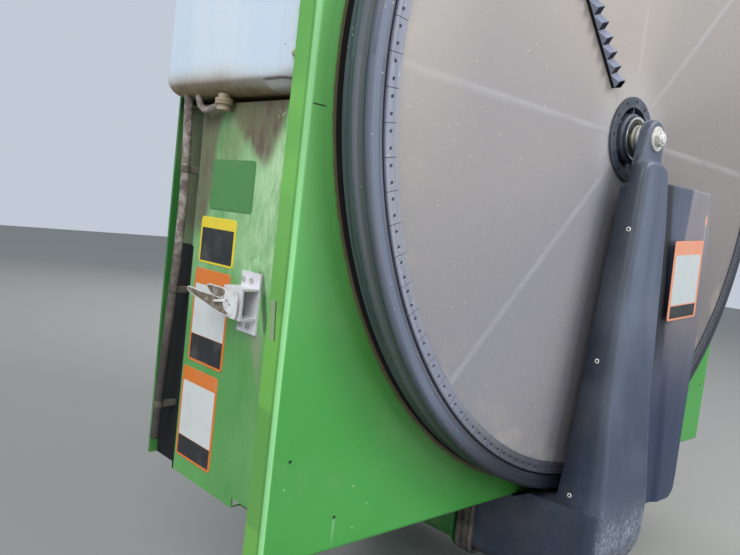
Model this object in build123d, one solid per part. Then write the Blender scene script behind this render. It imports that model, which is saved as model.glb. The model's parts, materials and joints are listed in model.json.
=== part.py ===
from build123d import *
import os
from math import cos, radians, sin

# Rotary cooling-air screen unit of a combine harvester, in millimetres.
# X runs along the screen's width, +Z is up, and the screen faces -Y.
# The origin is on the rear mounting plane, on the screen's axis.

# Screen drum
depth = 450.0               # screen face to rear mounting plane
face_y = -depth
drum_r = 637.0              # outside of the drum
drum_wall_t = 4.0
drum_back = 49.0            # drum's rear edge, behind the screen face
rim_w, rim_lip = 25.0, 3.0  # rolled front edge: its width, and how far it stands ahead of the face
rim_depth = 6.0
bead_y0, bead_y1, bead_h = 19.0, 30.0, 2.0
lip_in_r = drum_r - rim_w
band_w, band_t, band_gap = 21.0, 4.0, 3.0
band_out_r = lip_in_r - band_gap
band_in_r = band_out_r - band_w
ring_t, ring_ledge = 4.0, 4.0
ring_in_r = band_in_r - ring_ledge
mesh_t, mesh_edge = 2.0, 5.0
mesh_r = lip_in_r - mesh_edge
mesh_hole_r = 58.0
spoke_count, spoke_w, spoke_t = 8, 20.0, 12.0

# Hub and spindle
hub_flange_r, hub_flange_t = 73.0, 4.0
hub_dish_r, hub_dish_floor = 55.0, 12.0
hub_wall = 4.0
hub_boss_r, hub_chamfer = 44.0, 3.0
hub_rib_count, hub_rib_t = 6, 4.0
hub_tube_r = 30.0
hub_front, hub_back = 8.0, 58.0       # ahead of and behind the screen face
cap_r, cap_in_r, cap_t = 40.0, 33.0, 5.0
spindle_r = 15.0
spindle_tip_r = 8.0
run_gap = 0.05                        # radial clearance of the hub on its spindle
rest_gap = 0.3
tab_r, tab_t = 32.0, 5.0
tab_front, tab_back = 50.0, 33.0      # front of the duct's fixing tab and back of its skirt, ahead of the face
spacer_r = 24.0
washer_r, washer_t = 21.5, 3.0
bolt_across, bolt_t = 24.0, 11.0

# Toothed strip on the screen
strip_in, strip_gap = 112.0, 13.0
strip_out = band_in_r - strip_gap
strip_angle = 135.0
strip_w, strip_h, strip_base_t = 20.0, 16.0, 5.0
tooth_pitch, tooth_l = 27.0, 15.0

# Door
door_half_w, door_half_h = 676.0, 659.0
door_face = 60.0                      # front of the door's sheet, behind the screen face
door_depth = 38.0                     # sheet folded back this far
sheet, bend_r = 3.0, 7.0
lip_w = 30.0                          # folded in behind
hole_gap, brush_gap, brush_t = 9.0, 6.0, 10.0
door_hole_r = drum_r + hole_gap
brush_r = drum_r + brush_gap
brush_holder, holder_t = 5.0, 2.0
seam_z = -61.0                        # level joint between the door's two sheets
bar_w, bar_d, bar_wall = 56.0, 40.0, 4.0   # cross bars that carry the spindle
boss_r = 22.0
clear = 6.0

# Housing
seal_gap = 12.0
frame_y = door_face + door_depth + seal_gap   # front frame, behind the screen face
frame_inset, wall_inset_x, wall_inset_z = 12.0, 36.0, 31.0
frame_out_x, frame_out_z = door_half_w - frame_inset, door_half_h - frame_inset
wall_x, wall_z = door_half_w - wall_inset_x, door_half_h - wall_inset_z
frame_hole_r = ring_in_r + clear
seal_w = 16.0
rear_t, rear_w = 5.0, 45.0
bolt_inset = 22.0
bolt_r = 5.5
joggle_l, joggle_step = 84.0, 14.0    # the left wall steps in this far before the mounting plane
joggle_y = depth - joggle_l
notch_y, notch_h = 190.0, 15.0        # cut-out at the foot of the left wall
niche_d, niche_z0, niche_head = 43.0, -48.0, 41.0
niche_x = niche_d - wall_x

# Coolant tank
tank_out, tank_play = 36.0, 2.0
tank_x = -wall_x - tank_out
tank_y0, tank_y1 = frame_y - clear, depth - rear_t - tank_play
tank_top = 225.0
tank_r, tank_belly_r, tank_top_r = 30.0, 29.0, 15.0
tank_step_l, tank_step_h, tank_step_d = 58.0, 26.0, 6.0
filler_r, filler_h, filler_edge = 28.0, 24.0, 4.0
niche_z1 = tank_top + filler_h + niche_head
neck_out, neck_y, neck_r, neck_len = 20.0, 284.0, 11.0, 24.0
neck_x = -wall_x - neck_out
neck_nut_h, neck_nut_out, elbow_l = 8.0, 3.0, 3.0
hose_r, hose_out, hose_drop, hose_clearance, hose_bend = 8.0, 12.0, 14.0, 28.0, 30.0
hose_x, hose_y = -wall_x - hose_out, joggle_y + joggle_l / 2
hose_top, hose_foot = niche_z0 - hose_drop, hose_clearance - wall_z
clip_heights = (-150.0, -340.0, -530.0)
clip_h, clip_t = 14.0, 3.0

# Suction ducts. A share runs from 0 at the arm's top to 1 at its foot
duct_wall = 4.0
duct_back = 24.0                      # ducts' open backs stand this far off the screen
boot_gap = 8.0
boot_top_back = -door_half_h - boot_gap
boot_step, boot_h, arm_over_boot = 19.0, 133.0, 27.0
boot_top_front = boot_top_back + boot_step
boot_bottom = boot_top_back - boot_h
arm_top, arm_bottom = -45.0, boot_top_back + arm_over_boot
#    share  x_left  x_right y_front r_left r_right
arm_rows = [
    (0.00, -42.0, 28.0, -58.0, 10.0, 14.0),
    (0.04, -50.0, 36.0, -62.0, 10.0, 16.0),
    (0.19, -60.0, 46.0, -66.0, 12.0, 22.0),
    (0.40, -75.0, 64.0, -69.0, 14.0, 24.0),
    (0.70, -94.0, 67.0, -82.0, 18.0, 26.0),
    (1.00, -123.0, 52.0, -106.0, 26.0, 26.0),
]
#    share  x_right y_front; the left side follows the arm
cover_rows = [
    (0.04, 232.0, -56.0),
    (0.19, 243.0, -58.0),
    (0.40, 250.0, -60.0),
    (0.70, 261.0, -60.0),
    (1.00, 272.0, -58.0),
    (1.09, 276.0, -56.0),
]
cover_bevel, cover_rise, cover_facet, cover_edge, cover_corner = 30.0, 14.0, 9.0, 8.0, 24.0
boot_bend = 110.0
boot_slope = (22.0, 42.0)
boot_end = 150.0
boot_edge_r = 26.0
bellows_l, bellows_rib, bellows_gap, bellows_ribs = 26.0, 5.0, 3.0, 3
inlet_wall, inlet_flange = 3.0, 18.0
bracket_w, bracket_foot = 110.0, 30.0

# Hinge
pin_r, knuckle_r, knuckle_h = 6.0, 11.0, 40.0
hinge_x, hinge_y = door_half_w + knuckle_r + sheet, door_face + door_depth + clear
hinge_heights = {"lower": -480.0, "upper": 440.0}
leaf_h, leaf_t = 90.0, 4.0

# Latch on the left wall
latch_y, latch_z = 192.0, -329.0      # middle of its base plate
latch_w, latch_h = 46.0, 86.0
latch_box_h, latch_box_d = 44.0, 30.0
latch_t = 3.0
lever_l, lever_root, lever_tip, lever_t, lever_lean = 104.0, 40.0, 10.0, 4.0, 8.0
slot_h, slot_w, slot_edge = 44.0, 6.0, 6.0


def block(x0, x1, y0, y1, z0, z1):
    """Box between two corners; y is counted from the screen face."""
    centre = ((x0 + x1) / 2, face_y + (y0 + y1) / 2, (z0 + z1) / 2)
    return Pos(*centre) * Box(abs(x1 - x0), abs(y1 - y0), abs(z1 - z0))


def disc(r, y0, y1, x=0.0, z=0.0):
    """Cylinder along Y between two distances from the screen face."""
    laid = Rot(X=-90) * Cylinder(r, y1 - y0, align=(Align.CENTER, Align.CENTER, Align.MIN))
    return Pos(x, face_y + y0, z) * laid


def post(r, x, y, z0, z1):
    """Cylinder along Z."""
    return Pos(x, face_y + y, z0) * Cylinder(r, z1 - z0, align=(Align.CENTER, Align.CENTER, Align.MIN))


def spun(points):
    """Solid of revolution about the screen's axis from (radius, y) points."""
    outline = Polyline(*[(r, face_y + y) for r, y in points], close=True)
    return revolve(make_face(outline), Axis.Y, 360)


def drum_rim():
    """Rolled front edge and the flat ring that the screen lies on."""
    back = mesh_t + ring_t
    return spun([
        (ring_in_r, mesh_t), (lip_in_r, mesh_t), (lip_in_r, 0), (lip_in_r + rim_lip, -rim_lip),
        (drum_r - rim_lip, -rim_lip), (drum_r, 0), (drum_r, back), (ring_in_r, back)])


def drum_wall():
    """Side wall of the drum behind the rolled edge, with a raised bead round it."""
    outer, inner = drum_r - bead_h, drum_r - bead_h - drum_wall_t
    front = mesh_t + ring_t
    return spun([
        (inner, front), (outer, front), (outer, bead_y0), (drum_r, bead_y0 + bead_h),
        (drum_r, bead_y1 - bead_h), (outer, bead_y1), (outer, drum_back), (inner, drum_back)])


def screen_mesh():
    return disc(mesh_r, 0, mesh_t) - disc(mesh_hole_r, -1, mesh_t + 1)


def clamp_band():
    return disc(band_out_r, -band_t, 0) - disc(band_in_r, -band_t - 1, 1)


def rotor_spokes():
    """Flat bars behind the screen, from the hub's dish to the drum's ring."""
    spokes = Part()
    for i in range(spoke_count):
        bar = block(hub_dish_r, ring_in_r + 5, mesh_t, mesh_t + spoke_t, -spoke_w / 2, spoke_w / 2)
        spokes += Rot(Y=360 / spoke_count * i) * bar
    spokes &= disc(ring_in_r, 0, mesh_t + spoke_t + 1)
    return spokes - disc(hub_dish_r + hub_wall, 0, mesh_t + spoke_t + 1)


def rotor_hub():
    """Flange on the screen's front, ribbed recess, boss and the tube that runs on the spindle."""
    bore = spindle_r + run_gap
    hub = spun([
        (hub_dish_r, -hub_flange_t), (hub_flange_r, -hub_flange_t), (hub_flange_r, 0), (mesh_hole_r, 0),
        (mesh_hole_r, mesh_t), (hub_dish_r + hub_wall, mesh_t),
        (hub_dish_r + hub_wall, hub_dish_floor + hub_wall), (hub_tube_r, hub_dish_floor + hub_wall),
        (hub_tube_r, hub_back), (bore, hub_back), (bore, -hub_front), (hub_boss_r - hub_chamfer, -hub_front),
        (hub_boss_r, -hub_front + hub_chamfer), (hub_boss_r, hub_dish_floor), (hub_dish_r, hub_dish_floor)])
    for i in range(hub_rib_count):
        rib = block(hub_boss_r - 1, hub_dish_r + 1, 0, hub_dish_floor + 1, -hub_rib_t / 2, hub_rib_t / 2)
        hub += Rot(Y=360 / hub_rib_count * (i + 0.5)) * rib
    return hub


def bearing_cap():
    """Bright bearing ring on the hub boss's front."""
    return disc(cap_r, -hub_front - cap_t, -hub_front) - disc(cap_in_r, -hub_front - cap_t - 1, 0)


def toothed_strip():
    """Saw-tooth strip along one radius of the screen."""
    strip = block(strip_in, strip_out, -strip_base_t, 0, -strip_w / 2, strip_w / 2)
    count = int((strip_out - strip_in) // tooth_pitch)
    for i in range(count):
        x = strip_in + tooth_pitch * i
        outline = Polyline((x, -strip_base_t), (x + tooth_l, -strip_h), (x + tooth_l, -strip_base_t), close=True)
        tooth = extrude(make_face(outline), strip_w / 2, both=True)
        strip += Pos(0, face_y, 0) * tooth
    return Rot(Y=-strip_angle) * strip


def spindle():
    """Fixed shaft from the door's cross bars to the duct's tab."""
    bar_back = door_face + sheet + bar_d
    shaft = disc(spindle_r, -tab_front + tab_t, bar_back)
    shaft += disc(washer_r, bar_back, bar_back + washer_t)
    return shaft + disc(spindle_tip_r, -tab_front - washer_t, -tab_front + tab_t)


def spindle_spacer():
    return disc(spacer_r, -tab_front + tab_t, -hub_front - cap_t - rest_gap) - disc(
        spindle_r, -tab_front, 0)


def spindle_bolt():
    """Washer and hexagon head at the spindle's front."""
    head = extrude(RegularPolygon(bolt_across / 2, 6, major_radius=False), bolt_t)
    head = Pos(0, face_y - tab_front - washer_t, 0) * Rot(X=90) * head
    washer = disc(washer_r, -tab_front - washer_t, -tab_front) - disc(spindle_tip_r, -tab_front - washer_t, 0)
    return washer + head


def door_sheet(z_low, z_high):
    """Folded door sheet between two heights: face, side returns and lips, with the round hole."""
    back = door_face + door_depth
    full = block(-door_half_w, door_half_w, door_face, back, -door_half_h, door_half_h)
    inner = block(-door_half_w + sheet, door_half_w - sheet, door_face + sheet, back - sheet,
                  -door_half_h + sheet, door_half_h - sheet)
    mouth = block(-door_half_w + lip_w, door_half_w - lip_w, back - sheet - 1, back + 1,
                  -door_half_h + lip_w, door_half_h - lip_w)
    full = fillet(full.faces().sort_by(Axis.Y)[0].edges(), bend_r)
    inner = fillet(inner.faces().sort_by(Axis.Y)[0].edges(), bend_r - sheet)
    shell = full - inner - mouth - disc(door_hole_r, door_face - 1, door_face + sheet + 1)
    return shell & block(-door_half_w, door_half_w, door_face, back, z_low, z_high)


def door_crossbar():
    """Level channel behind the drum, with the boss that holds the spindle."""
    x, y0 = door_half_w - bend_r, door_face + sheet
    y1 = y0 + bar_d
    bar = block(-x, x, y0, y1, -bar_w / 2, bar_w / 2)
    bar -= block(-x - 1, x + 1, y0 + bar_wall, y1 + 1, -bar_w / 2 + bar_wall, bar_w / 2 - bar_wall)
    bar += disc(boss_r, y0, y1)
    for side in (-1, 1):
        bar -= block(side * (frame_out_x - seal_w - clear), side * (x + 1),
                     door_face + door_depth - sheet, y1 + 1, -bar_w, bar_w)
    return bar - disc(spindle_r + run_gap, 0, y1 + 1)


def door_upright(side):
    """Upright channel from the level one to the door's top (side 1) or foot (side -1)."""
    y0 = door_face + sheet
    y1 = y0 + bar_d
    z0, z1 = bar_w / 2, door_half_h - bend_r
    bar = block(-bar_w / 2, bar_w / 2, y0, y1, side * z0, side * z1)
    bar -= block(-bar_w / 2 + bar_wall, bar_w / 2 - bar_wall, y0 + bar_wall, y1 + 1,
                 side * (z0 - 1), side * (z1 + 1))
    return bar - block(-bar_w, bar_w, door_face + door_depth - sheet, y1 + 1,
                       side * (frame_out_z - seal_w - clear), side * (z1 + 1))


def brush_seal():
    """Ring of bristles in the door's round hole, just short of the drum."""
    ring = disc(door_hole_r, door_face - brush_t, door_face) - disc(brush_r, 0, door_face + 1)
    holder = disc(door_hole_r + brush_holder, door_face - holder_t, door_face)
    holder -= disc(brush_r, 0, door_face + 1)
    return ring + holder


def arm_z(share):
    """Height of a share of the arm's length."""
    return arm_top + share * (arm_bottom - arm_top)


def duct_section(share, x_left, x_right, y_front, r_left, r_right, inset=0.0, drop=0.0):
    """Open-backed channel section at one height; a positive inset gives the hollow."""
    x0, x1 = x_left + inset, x_right - inset
    y0, y1 = face_y + y_front + inset, face_y - duct_back + (1 if inset else 0)
    ra, rb = r_left - inset, r_right - inset
    edges = [
        Line((x0, y1), (x0, y0 + ra)),
        RadiusArc((x0, y0 + ra), (x0 + ra, y0), -ra),
        Line((x0 + ra, y0), (x1 - rb, y0)),
        RadiusArc((x1 - rb, y0), (x1, y0 + rb), -rb),
        Line((x1, y0 + rb), (x1, y1)),
        Line((x1, y1), (x0, y1)),
    ]
    return Pos(0, 0, arm_z(share) - drop) * make_face(edges)


def arm_loft(inset=0.0):
    """Solid through the arm's sections, from the top down; the hollow starts a wall lower."""
    drops = [inset] + [0.0] * (len(arm_rows) - 2) + [1.0 if inset else 0.0]
    sections = [duct_section(*row, inset=inset, drop=drop) for row, drop in zip(arm_rows, drops)]
    return loft(sections, ruled=True)


def tab_outline(inset=0.0):
    """Round-topped outline of the fixing tab, widening to the arm's top."""
    _, x_left, x_right, *_ = arm_rows[0]
    r, foot = tab_r - inset, arm_top - duct_wall / 2 + inset
    left, right = Vector(x_left + inset, 0, foot), Vector(x_right - inset, 0, foot)
    edges = [
        ThreePointArc(Vector(-r, 0, 0), Vector(0, 0, r), Vector(r, 0, 0)),
        Line(Vector(r, 0, 0), right),
        Line(right, left),
        Line(left, Vector(-r, 0, 0)),
    ]
    return make_face(edges)


def suction_arm():
    """Long duct in front of the screen, from the spindle down, with its hollow fixing tab."""
    shell = arm_loft() - arm_loft(inset=duct_wall)
    tab = extrude(Pos(0, face_y - tab_front, 0) * tab_outline(), tab_front - tab_back, dir=(0, 1, 0))
    tab -= extrude(Pos(0, face_y - tab_front + tab_t, 0) * tab_outline(duct_wall), tab_front, dir=(0, 1, 0))
    tab -= disc(spindle_tip_r + run_gap, -tab_front - 1, -tab_back)
    return shell + tab


def arm_right(share):
    """The arm's right side at a share of its length, straight between its sections."""
    for (s0, _, x0, *_), (s1, _, x1, *_) in zip(arm_rows, arm_rows[1:]):
        if s0 <= share <= s1:
            return x0 + (x1 - x0) * (share - s0) / (s1 - s0)
    return arm_rows[-1][2]


def cover_section(share, x_right, y_front, inset=0.0, drop=0.0):
    """Section of the second duct: bevelled along the arm, open behind."""
    x_left = arm_right(share) + rest_gap
    x0, x1 = x_left + inset, x_right - inset
    y0, y1 = face_y + y_front + inset, face_y - duct_back + (1 if inset else 0)
    outline = Polyline((x0, y1), (x0, y0 + cover_rise), (x0 + cover_facet, y0 + cover_rise / 2),
                       (x_left + cover_bevel + inset / 2, y0),
                       (x1 - cover_edge, y0), (x1, y0 + cover_edge), (x1, y1), close=True)
    return Pos(0, 0, arm_z(share) - drop) * make_face(outline)


def cover_loft(inset=0.0):
    """Solid through the second duct's sections, its lower right corner rounded."""
    drops = [inset] + [0.0] * (len(cover_rows) - 2) + [-inset]
    solid = loft([cover_section(*row, inset=inset, drop=drop) for row, drop in zip(cover_rows, drops)],
                 ruled=True)
    foot = solid.faces().sort_by(Axis.Z)[0]
    corner = foot.edges().sort_by(Axis.X)[-1]
    return fillet(corner, cover_corner - inset)


def second_duct():
    """Wide shallow duct beside the arm, closed at both ends."""
    return cover_loft() - cover_loft(inset=duct_wall)


def boot_face(inset=0.0):
    """Side outline of the elbow: down from the arm, round the bend and back under the door."""
    front = arm_rows[-1][3] + inset
    floor = boot_bottom + inset
    bend = boot_bend - inset
    over = 1.0 if inset else 0.0
    back = -duct_back - inset
    top_front, top_back = boot_top_front - inset, boot_top_back - inset
    p = lambda y, z: Vector(0, face_y + y, z)
    edges = [
        Line(p(back, arm_bottom + over), p(front, arm_bottom + over)),
        Line(p(front, arm_bottom + over), p(front, floor + bend)),
        ThreePointArc(p(front, floor + bend),
                      p(front + bend * (1 - cos(radians(45))), floor + bend * (1 - sin(radians(45)))),
                      p(front + bend, floor)),
        Line(p(front + bend, floor), p(boot_end + over, floor)),
        Line(p(boot_end + over, floor), p(boot_end + over, top_back)),
        Line(p(boot_end + over, top_back), p(boot_slope[1], top_back)),
        Line(p(boot_slope[1], top_back), p(boot_slope[0], top_front)),
        Line(p(boot_slope[0], top_front), p(back, top_front)),
        Line(p(back, top_front), p(back, arm_bottom + over)),
    ]
    return make_face(edges)


def boot_solid(inset=0.0):
    """Elbow's block, its front and lower edges rounded like the arm's."""
    _, x_left, x_right, y_front, *_ = arm_rows[-1]
    width = x_right - x_left - 2 * inset
    solid = Pos(x_left + inset, 0, 0) * extrude(boot_face(inset), width, dir=(1, 0, 0))
    front = face_y + y_front + inset
    floor = boot_bottom + inset
    rounded = [e for e in solid.edges()
               if abs(e.center().X - (x_left + x_right) / 2) > width / 2 - 0.1
               and (abs(e.center().Y - front) < 0.1 or abs(e.center().Z - floor) < 0.1
                    or e.geom_type == GeomType.CIRCLE)]
    return fillet(rounded, boot_edge_r - inset)


def duct_boot():
    """Elbow under the door, open at its top and at its back end."""
    return boot_solid() - boot_solid(inset=duct_wall)


def outlet_block(y0, y1, out):
    """Solid of the boot's outlet grown by a margin, its two lower corners rounded."""
    x0, x1 = arm_rows[-1][1] - out, arm_rows[-1][2] + out
    z0, z1 = boot_bottom - out, boot_top_back + out
    solid = block(x0, x1, y0, y1, z0, z1)
    lower = [e for e in solid.edges().filter_by(Axis.Y) if e.center().Z < (z0 + z1) / 2]
    return fillet(lower, boot_edge_r + out)


def outlet_ring(y0, y1, out, wall):
    """Ring round the boot's outlet, from its outline grown by a margin inwards by a wall."""
    return outlet_block(y0, y1, out) - outlet_block(y0 - 1, y1 + 1, out - wall)


def outlet_bellows():
    """Ribbed rubber collar on the boot's end."""
    y0, y1 = boot_end - bellows_l / 2, boot_end + bellows_l
    ring = outlet_ring(y0, y1, duct_wall, duct_wall)
    step = (y1 - y0 - bellows_rib) / (bellows_ribs - 1)
    for i in range(bellows_ribs):
        y = y0 + step * i
        ring += outlet_ring(y, y + bellows_rib, duct_wall + bellows_rib, duct_wall + bellows_rib)
    return ring


def boot_bracket():
    """Angle that carries the boot from the lip at the door's foot."""
    x = (arm_rows[-1][1] + arm_rows[-1][2]) / 2
    y1 = door_face + door_depth
    plate = block(x - bracket_w / 2, x + bracket_w / 2, y1, y1 + sheet, boot_top_back, -frame_out_z - 2)
    return plate + block(x - bracket_w / 2, x + bracket_w / 2, y1 - bracket_foot, y1 + sheet,
                         boot_top_back, boot_top_back + sheet)


def suction_inlet():
    """Fixed duct behind the boot, with its flange on the mounting plane."""
    y0 = boot_end + bellows_l + bellows_gap
    tube = outlet_ring(y0, depth, 0, inlet_wall)
    rim = outlet_ring(depth - rear_t, depth, inlet_flange, inlet_flange)
    collar = outlet_ring(y0, y0 + sheet, duct_wall + bellows_rib, duct_wall + bellows_rib)
    return tube + rim + collar


def inlet_hanger():
    """Plates that hang the fixed duct from the housing's floor."""
    x = (arm_rows[-1][1] + arm_rows[-1][2]) / 2
    hanger = Part()
    for y in (boot_end + bellows_l + 3 * bellows_gap, depth - rear_t - 4 * bellows_gap):
        hanger += block(x - bracket_w / 2, x + bracket_w / 2, y, y + sheet, boot_top_back, -wall_z)
    return hanger


def hinge_leaf(z):
    """Leaf on the door's right return, with the knuckle that turns on the pin."""
    z0 = z + rest_gap
    leaf = block(door_half_w, door_half_w + leaf_t, door_face + bend_r, hinge_y, z0, z0 + leaf_h)
    leaf += post(knuckle_r, hinge_x, hinge_y, z0, z0 + knuckle_h)
    return leaf - post(pin_r + run_gap, hinge_x, hinge_y, z0 - 1, z0 + leaf_h + 1)


def hinge_bracket(z):
    """Fixed plate on the front frame, with its knuckle and pin."""
    y0 = frame_y + sheet
    bracket = block(wall_x, hinge_x, y0, y0 + leaf_t, z - leaf_h, z)
    bracket += block(hinge_x - knuckle_r / 2, hinge_x + knuckle_r / 2, hinge_y, y0 + leaf_t, z - knuckle_h, z)
    bracket += post(knuckle_r, hinge_x, hinge_y, z - knuckle_h, z)
    return bracket + post(pin_r, hinge_x, hinge_y, z, z + knuckle_h)


def niche_gap():
    """Room that the tank's niche takes from the front frame and its seal."""
    return block(-frame_out_x - 1, niche_x, 0, depth, niche_z0 - sheet, niche_z1 + sheet)


def front_frame():
    """Plate with the round air opening, flanged outward behind the door's lips."""
    plate = block(-frame_out_x, frame_out_x, frame_y, frame_y + sheet, -frame_out_z, frame_out_z)
    return plate - disc(frame_hole_r, frame_y - 1, frame_y + sheet + 1) - niche_gap()


def door_seal():
    """Foam strip round the front frame, against the door's lips."""
    y0 = door_face + door_depth + rest_gap
    ring = block(-frame_out_x, frame_out_x, y0, frame_y, -frame_out_z, frame_out_z)
    ring -= block(-frame_out_x + seal_w, frame_out_x - seal_w, y0 - 1, frame_y + 1,
                  -frame_out_z + seal_w, frame_out_z - seal_w)
    return ring - niche_gap()


def left_wall(z_low, z_high):
    """Side sheet between two heights, stepped inward near its back, notched at its foot."""
    y0, y1 = frame_y + sheet, depth - rear_t
    inner = -wall_x + joggle_step
    wall = block(-wall_x, -wall_x + sheet, y0, joggle_y, z_low, z_high)
    wall += block(-wall_x, inner + sheet, joggle_y - sheet, joggle_y, z_low, z_high)
    wall += block(inner, inner + sheet, joggle_y - sheet, y1, z_low, z_high)
    return wall - block(-wall_x - 1, -wall_x + sheet + 1, y0 - 1, notch_y, -wall_z - 1, -wall_z + notch_h)


def right_wall():
    return block(wall_x - sheet, wall_x, frame_y + sheet, depth - rear_t, -wall_z, wall_z)


def deck_sheet(side):
    """Floor (side -1) or roof (side 1) of the housing, between its walls."""
    z0, z1 = side * (wall_z - sheet), side * wall_z
    y0, y1 = frame_y + sheet, depth - rear_t
    inner = -wall_x + joggle_step + sheet
    deck = block(inner, wall_x - sheet, y0, y1, z0, z1)
    return deck + block(-wall_x + sheet, inner, notch_y if side < 0 else y0, joggle_y - sheet, z0, z1)


def tank_niche():
    """Shelf, back and top of the pocket that holds the tank, bent from one sheet."""
    y0, y1 = frame_y + sheet, depth - rear_t
    outer = block(-wall_x, niche_x + sheet, y0, y1, niche_z0 - sheet, niche_z1 + sheet)
    return outer - block(-wall_x - 1, niche_x, y0 - 1, y1 + 1, niche_z0, niche_z1)


def rear_frame():
    """Flat frame on the mounting plane, with a bolt hole in each corner."""
    y0 = depth - rear_t
    plate = block(-wall_x, wall_x, y0, depth, -wall_z, wall_z)
    plate -= block(-wall_x + rear_w, wall_x - rear_w, y0 - 1, depth + 1, -wall_z + rear_w, wall_z - rear_w)
    for x in (-wall_x + bolt_inset, wall_x - bolt_inset):
        for z in (-wall_z + bolt_inset, wall_z - bolt_inset):
            plate -= disc(bolt_r, y0 - 1, depth + 1, x, z)
    return plate


def coolant_tank():
    """Moulded tank with a round belly, a shallow step low on its outer face and a drain boss."""
    z0 = niche_z0 + rest_gap
    inner_x = niche_x - rest_gap
    tank = block(tank_x, inner_x, tank_y0, tank_y1, z0, tank_top)
    tank = fillet([e for e in tank.edges().filter_by(Axis.Z) if e.center().X < inner_x - 1], tank_r)
    for z, r in ((z0, tank_belly_r), (tank_top, tank_top_r)):
        rim = [e for e in tank.edges() if abs(e.center().Z - z) < 0.1 and e.center().X < inner_x - 1]
        tank = fillet(rim, r)
    return tank - block(tank_x - 1, tank_x + tank_step_d, tank_y0 - 1, tank_y0 + tank_step_l,
                        z0 - 1, z0 + tank_step_h)


def tank_cap():
    """Round filler cap on the tank's top."""
    x = (tank_x + niche_x) / 2
    y = tank_y1 - 2 * filler_r
    cap = post(filler_r, x, y, tank_top, tank_top + filler_h)
    return fillet(cap.faces().sort_by(Axis.Z)[-1].edges(), filler_edge)


def drain_neck():
    """Threaded neck with its nut, under the tank's outer edge."""
    z0 = niche_z0 + rest_gap
    neck = post(neck_r, neck_x, neck_y, z0 - neck_len, z0)
    neck += post(neck_r + neck_nut_out, neck_x, neck_y, z0 - neck_nut_h, z0)
    return neck + disc(hose_r, neck_y, neck_y + neck_r + elbow_l, neck_x, hose_top)


def overflow_hose():
    """Hose from the neck back along the wall and down to the housing's foot."""
    start = neck_y + neck_r + elbow_l + 3 * rest_gap
    points = [(neck_x, face_y + start, hose_top), (hose_x, face_y + hose_y, hose_top),
              (hose_x, face_y + hose_y, hose_foot)]
    path = FilletPolyline(*points, radius=hose_bend)
    ring = Plane(origin=path @ 0, z_dir=path % 0) * Circle(hose_r)
    return sweep(ring, path=path)


def hose_clips():
    """P-clips on the wall's stepped part."""
    inner = -wall_x + joggle_step
    clips = Part()
    for z in clip_heights:
        ring = post(hose_r + clip_t, hose_x, hose_y, z, z + clip_h)
        ring += block(hose_x, inner, hose_y - clip_t, hose_y + clip_t, z, z + clip_h)
        clips += ring - post(hose_r + run_gap, hose_x, hose_y, z - 1, z + clip_h + 1)
    return clips


def latch_base():
    """Bracket of the door's latch on the left wall: plate and the box that stands out from it."""
    x = -wall_x
    y0, y1 = latch_y - latch_w / 2, latch_y + latch_w / 2
    plate = block(x - latch_t, x, y0, y1, latch_z - latch_h / 2, latch_z + latch_h / 2)
    box = block(x - latch_box_d, x - latch_t, y0, y1, latch_z - latch_box_h / 2, latch_z + latch_box_h / 2)
    box -= block(x - latch_box_d + latch_t, x - latch_t, y0 - 1, y1 + 1 - latch_t,
                 latch_z - latch_box_h / 2 + latch_t, latch_z + latch_box_h / 2 - latch_t)
    return plate + box


def latch_lever():
    """Leaf-shaped lever on the latch's box, pointing back and out from the wall."""
    root, tip = lever_root / 2, lever_tip / 2
    outline = Polyline((0, -root), (0, root), (lever_l * 0.6, root * 0.8),
                       (lever_l, root * 0.5), (lever_l, root * 0.5 - tip), (lever_l * 0.5, -root), close=True)
    plate = extrude(Plane.YZ * make_face(outline), -lever_t)
    corner = (-wall_x - latch_box_d - rest_gap, face_y + latch_y - latch_w / 2, latch_z)
    return Pos(*corner) * Rot(Z=lever_lean) * plate


def door_striker():
    """Slotted plate inside the door's left return, for the latch."""
    x = -door_half_w + sheet
    y0, y1 = door_face + bend_r, door_face + door_depth - sheet
    plate = block(x, x + sheet, y0, y1, latch_z - latch_h / 2, latch_z + latch_h / 2)
    return plate - block(x - 1, x + sheet + 1, y1 - slot_edge - slot_w, y1 - slot_edge,
                         latch_z - slot_h / 2, latch_z + slot_h / 2)


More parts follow.
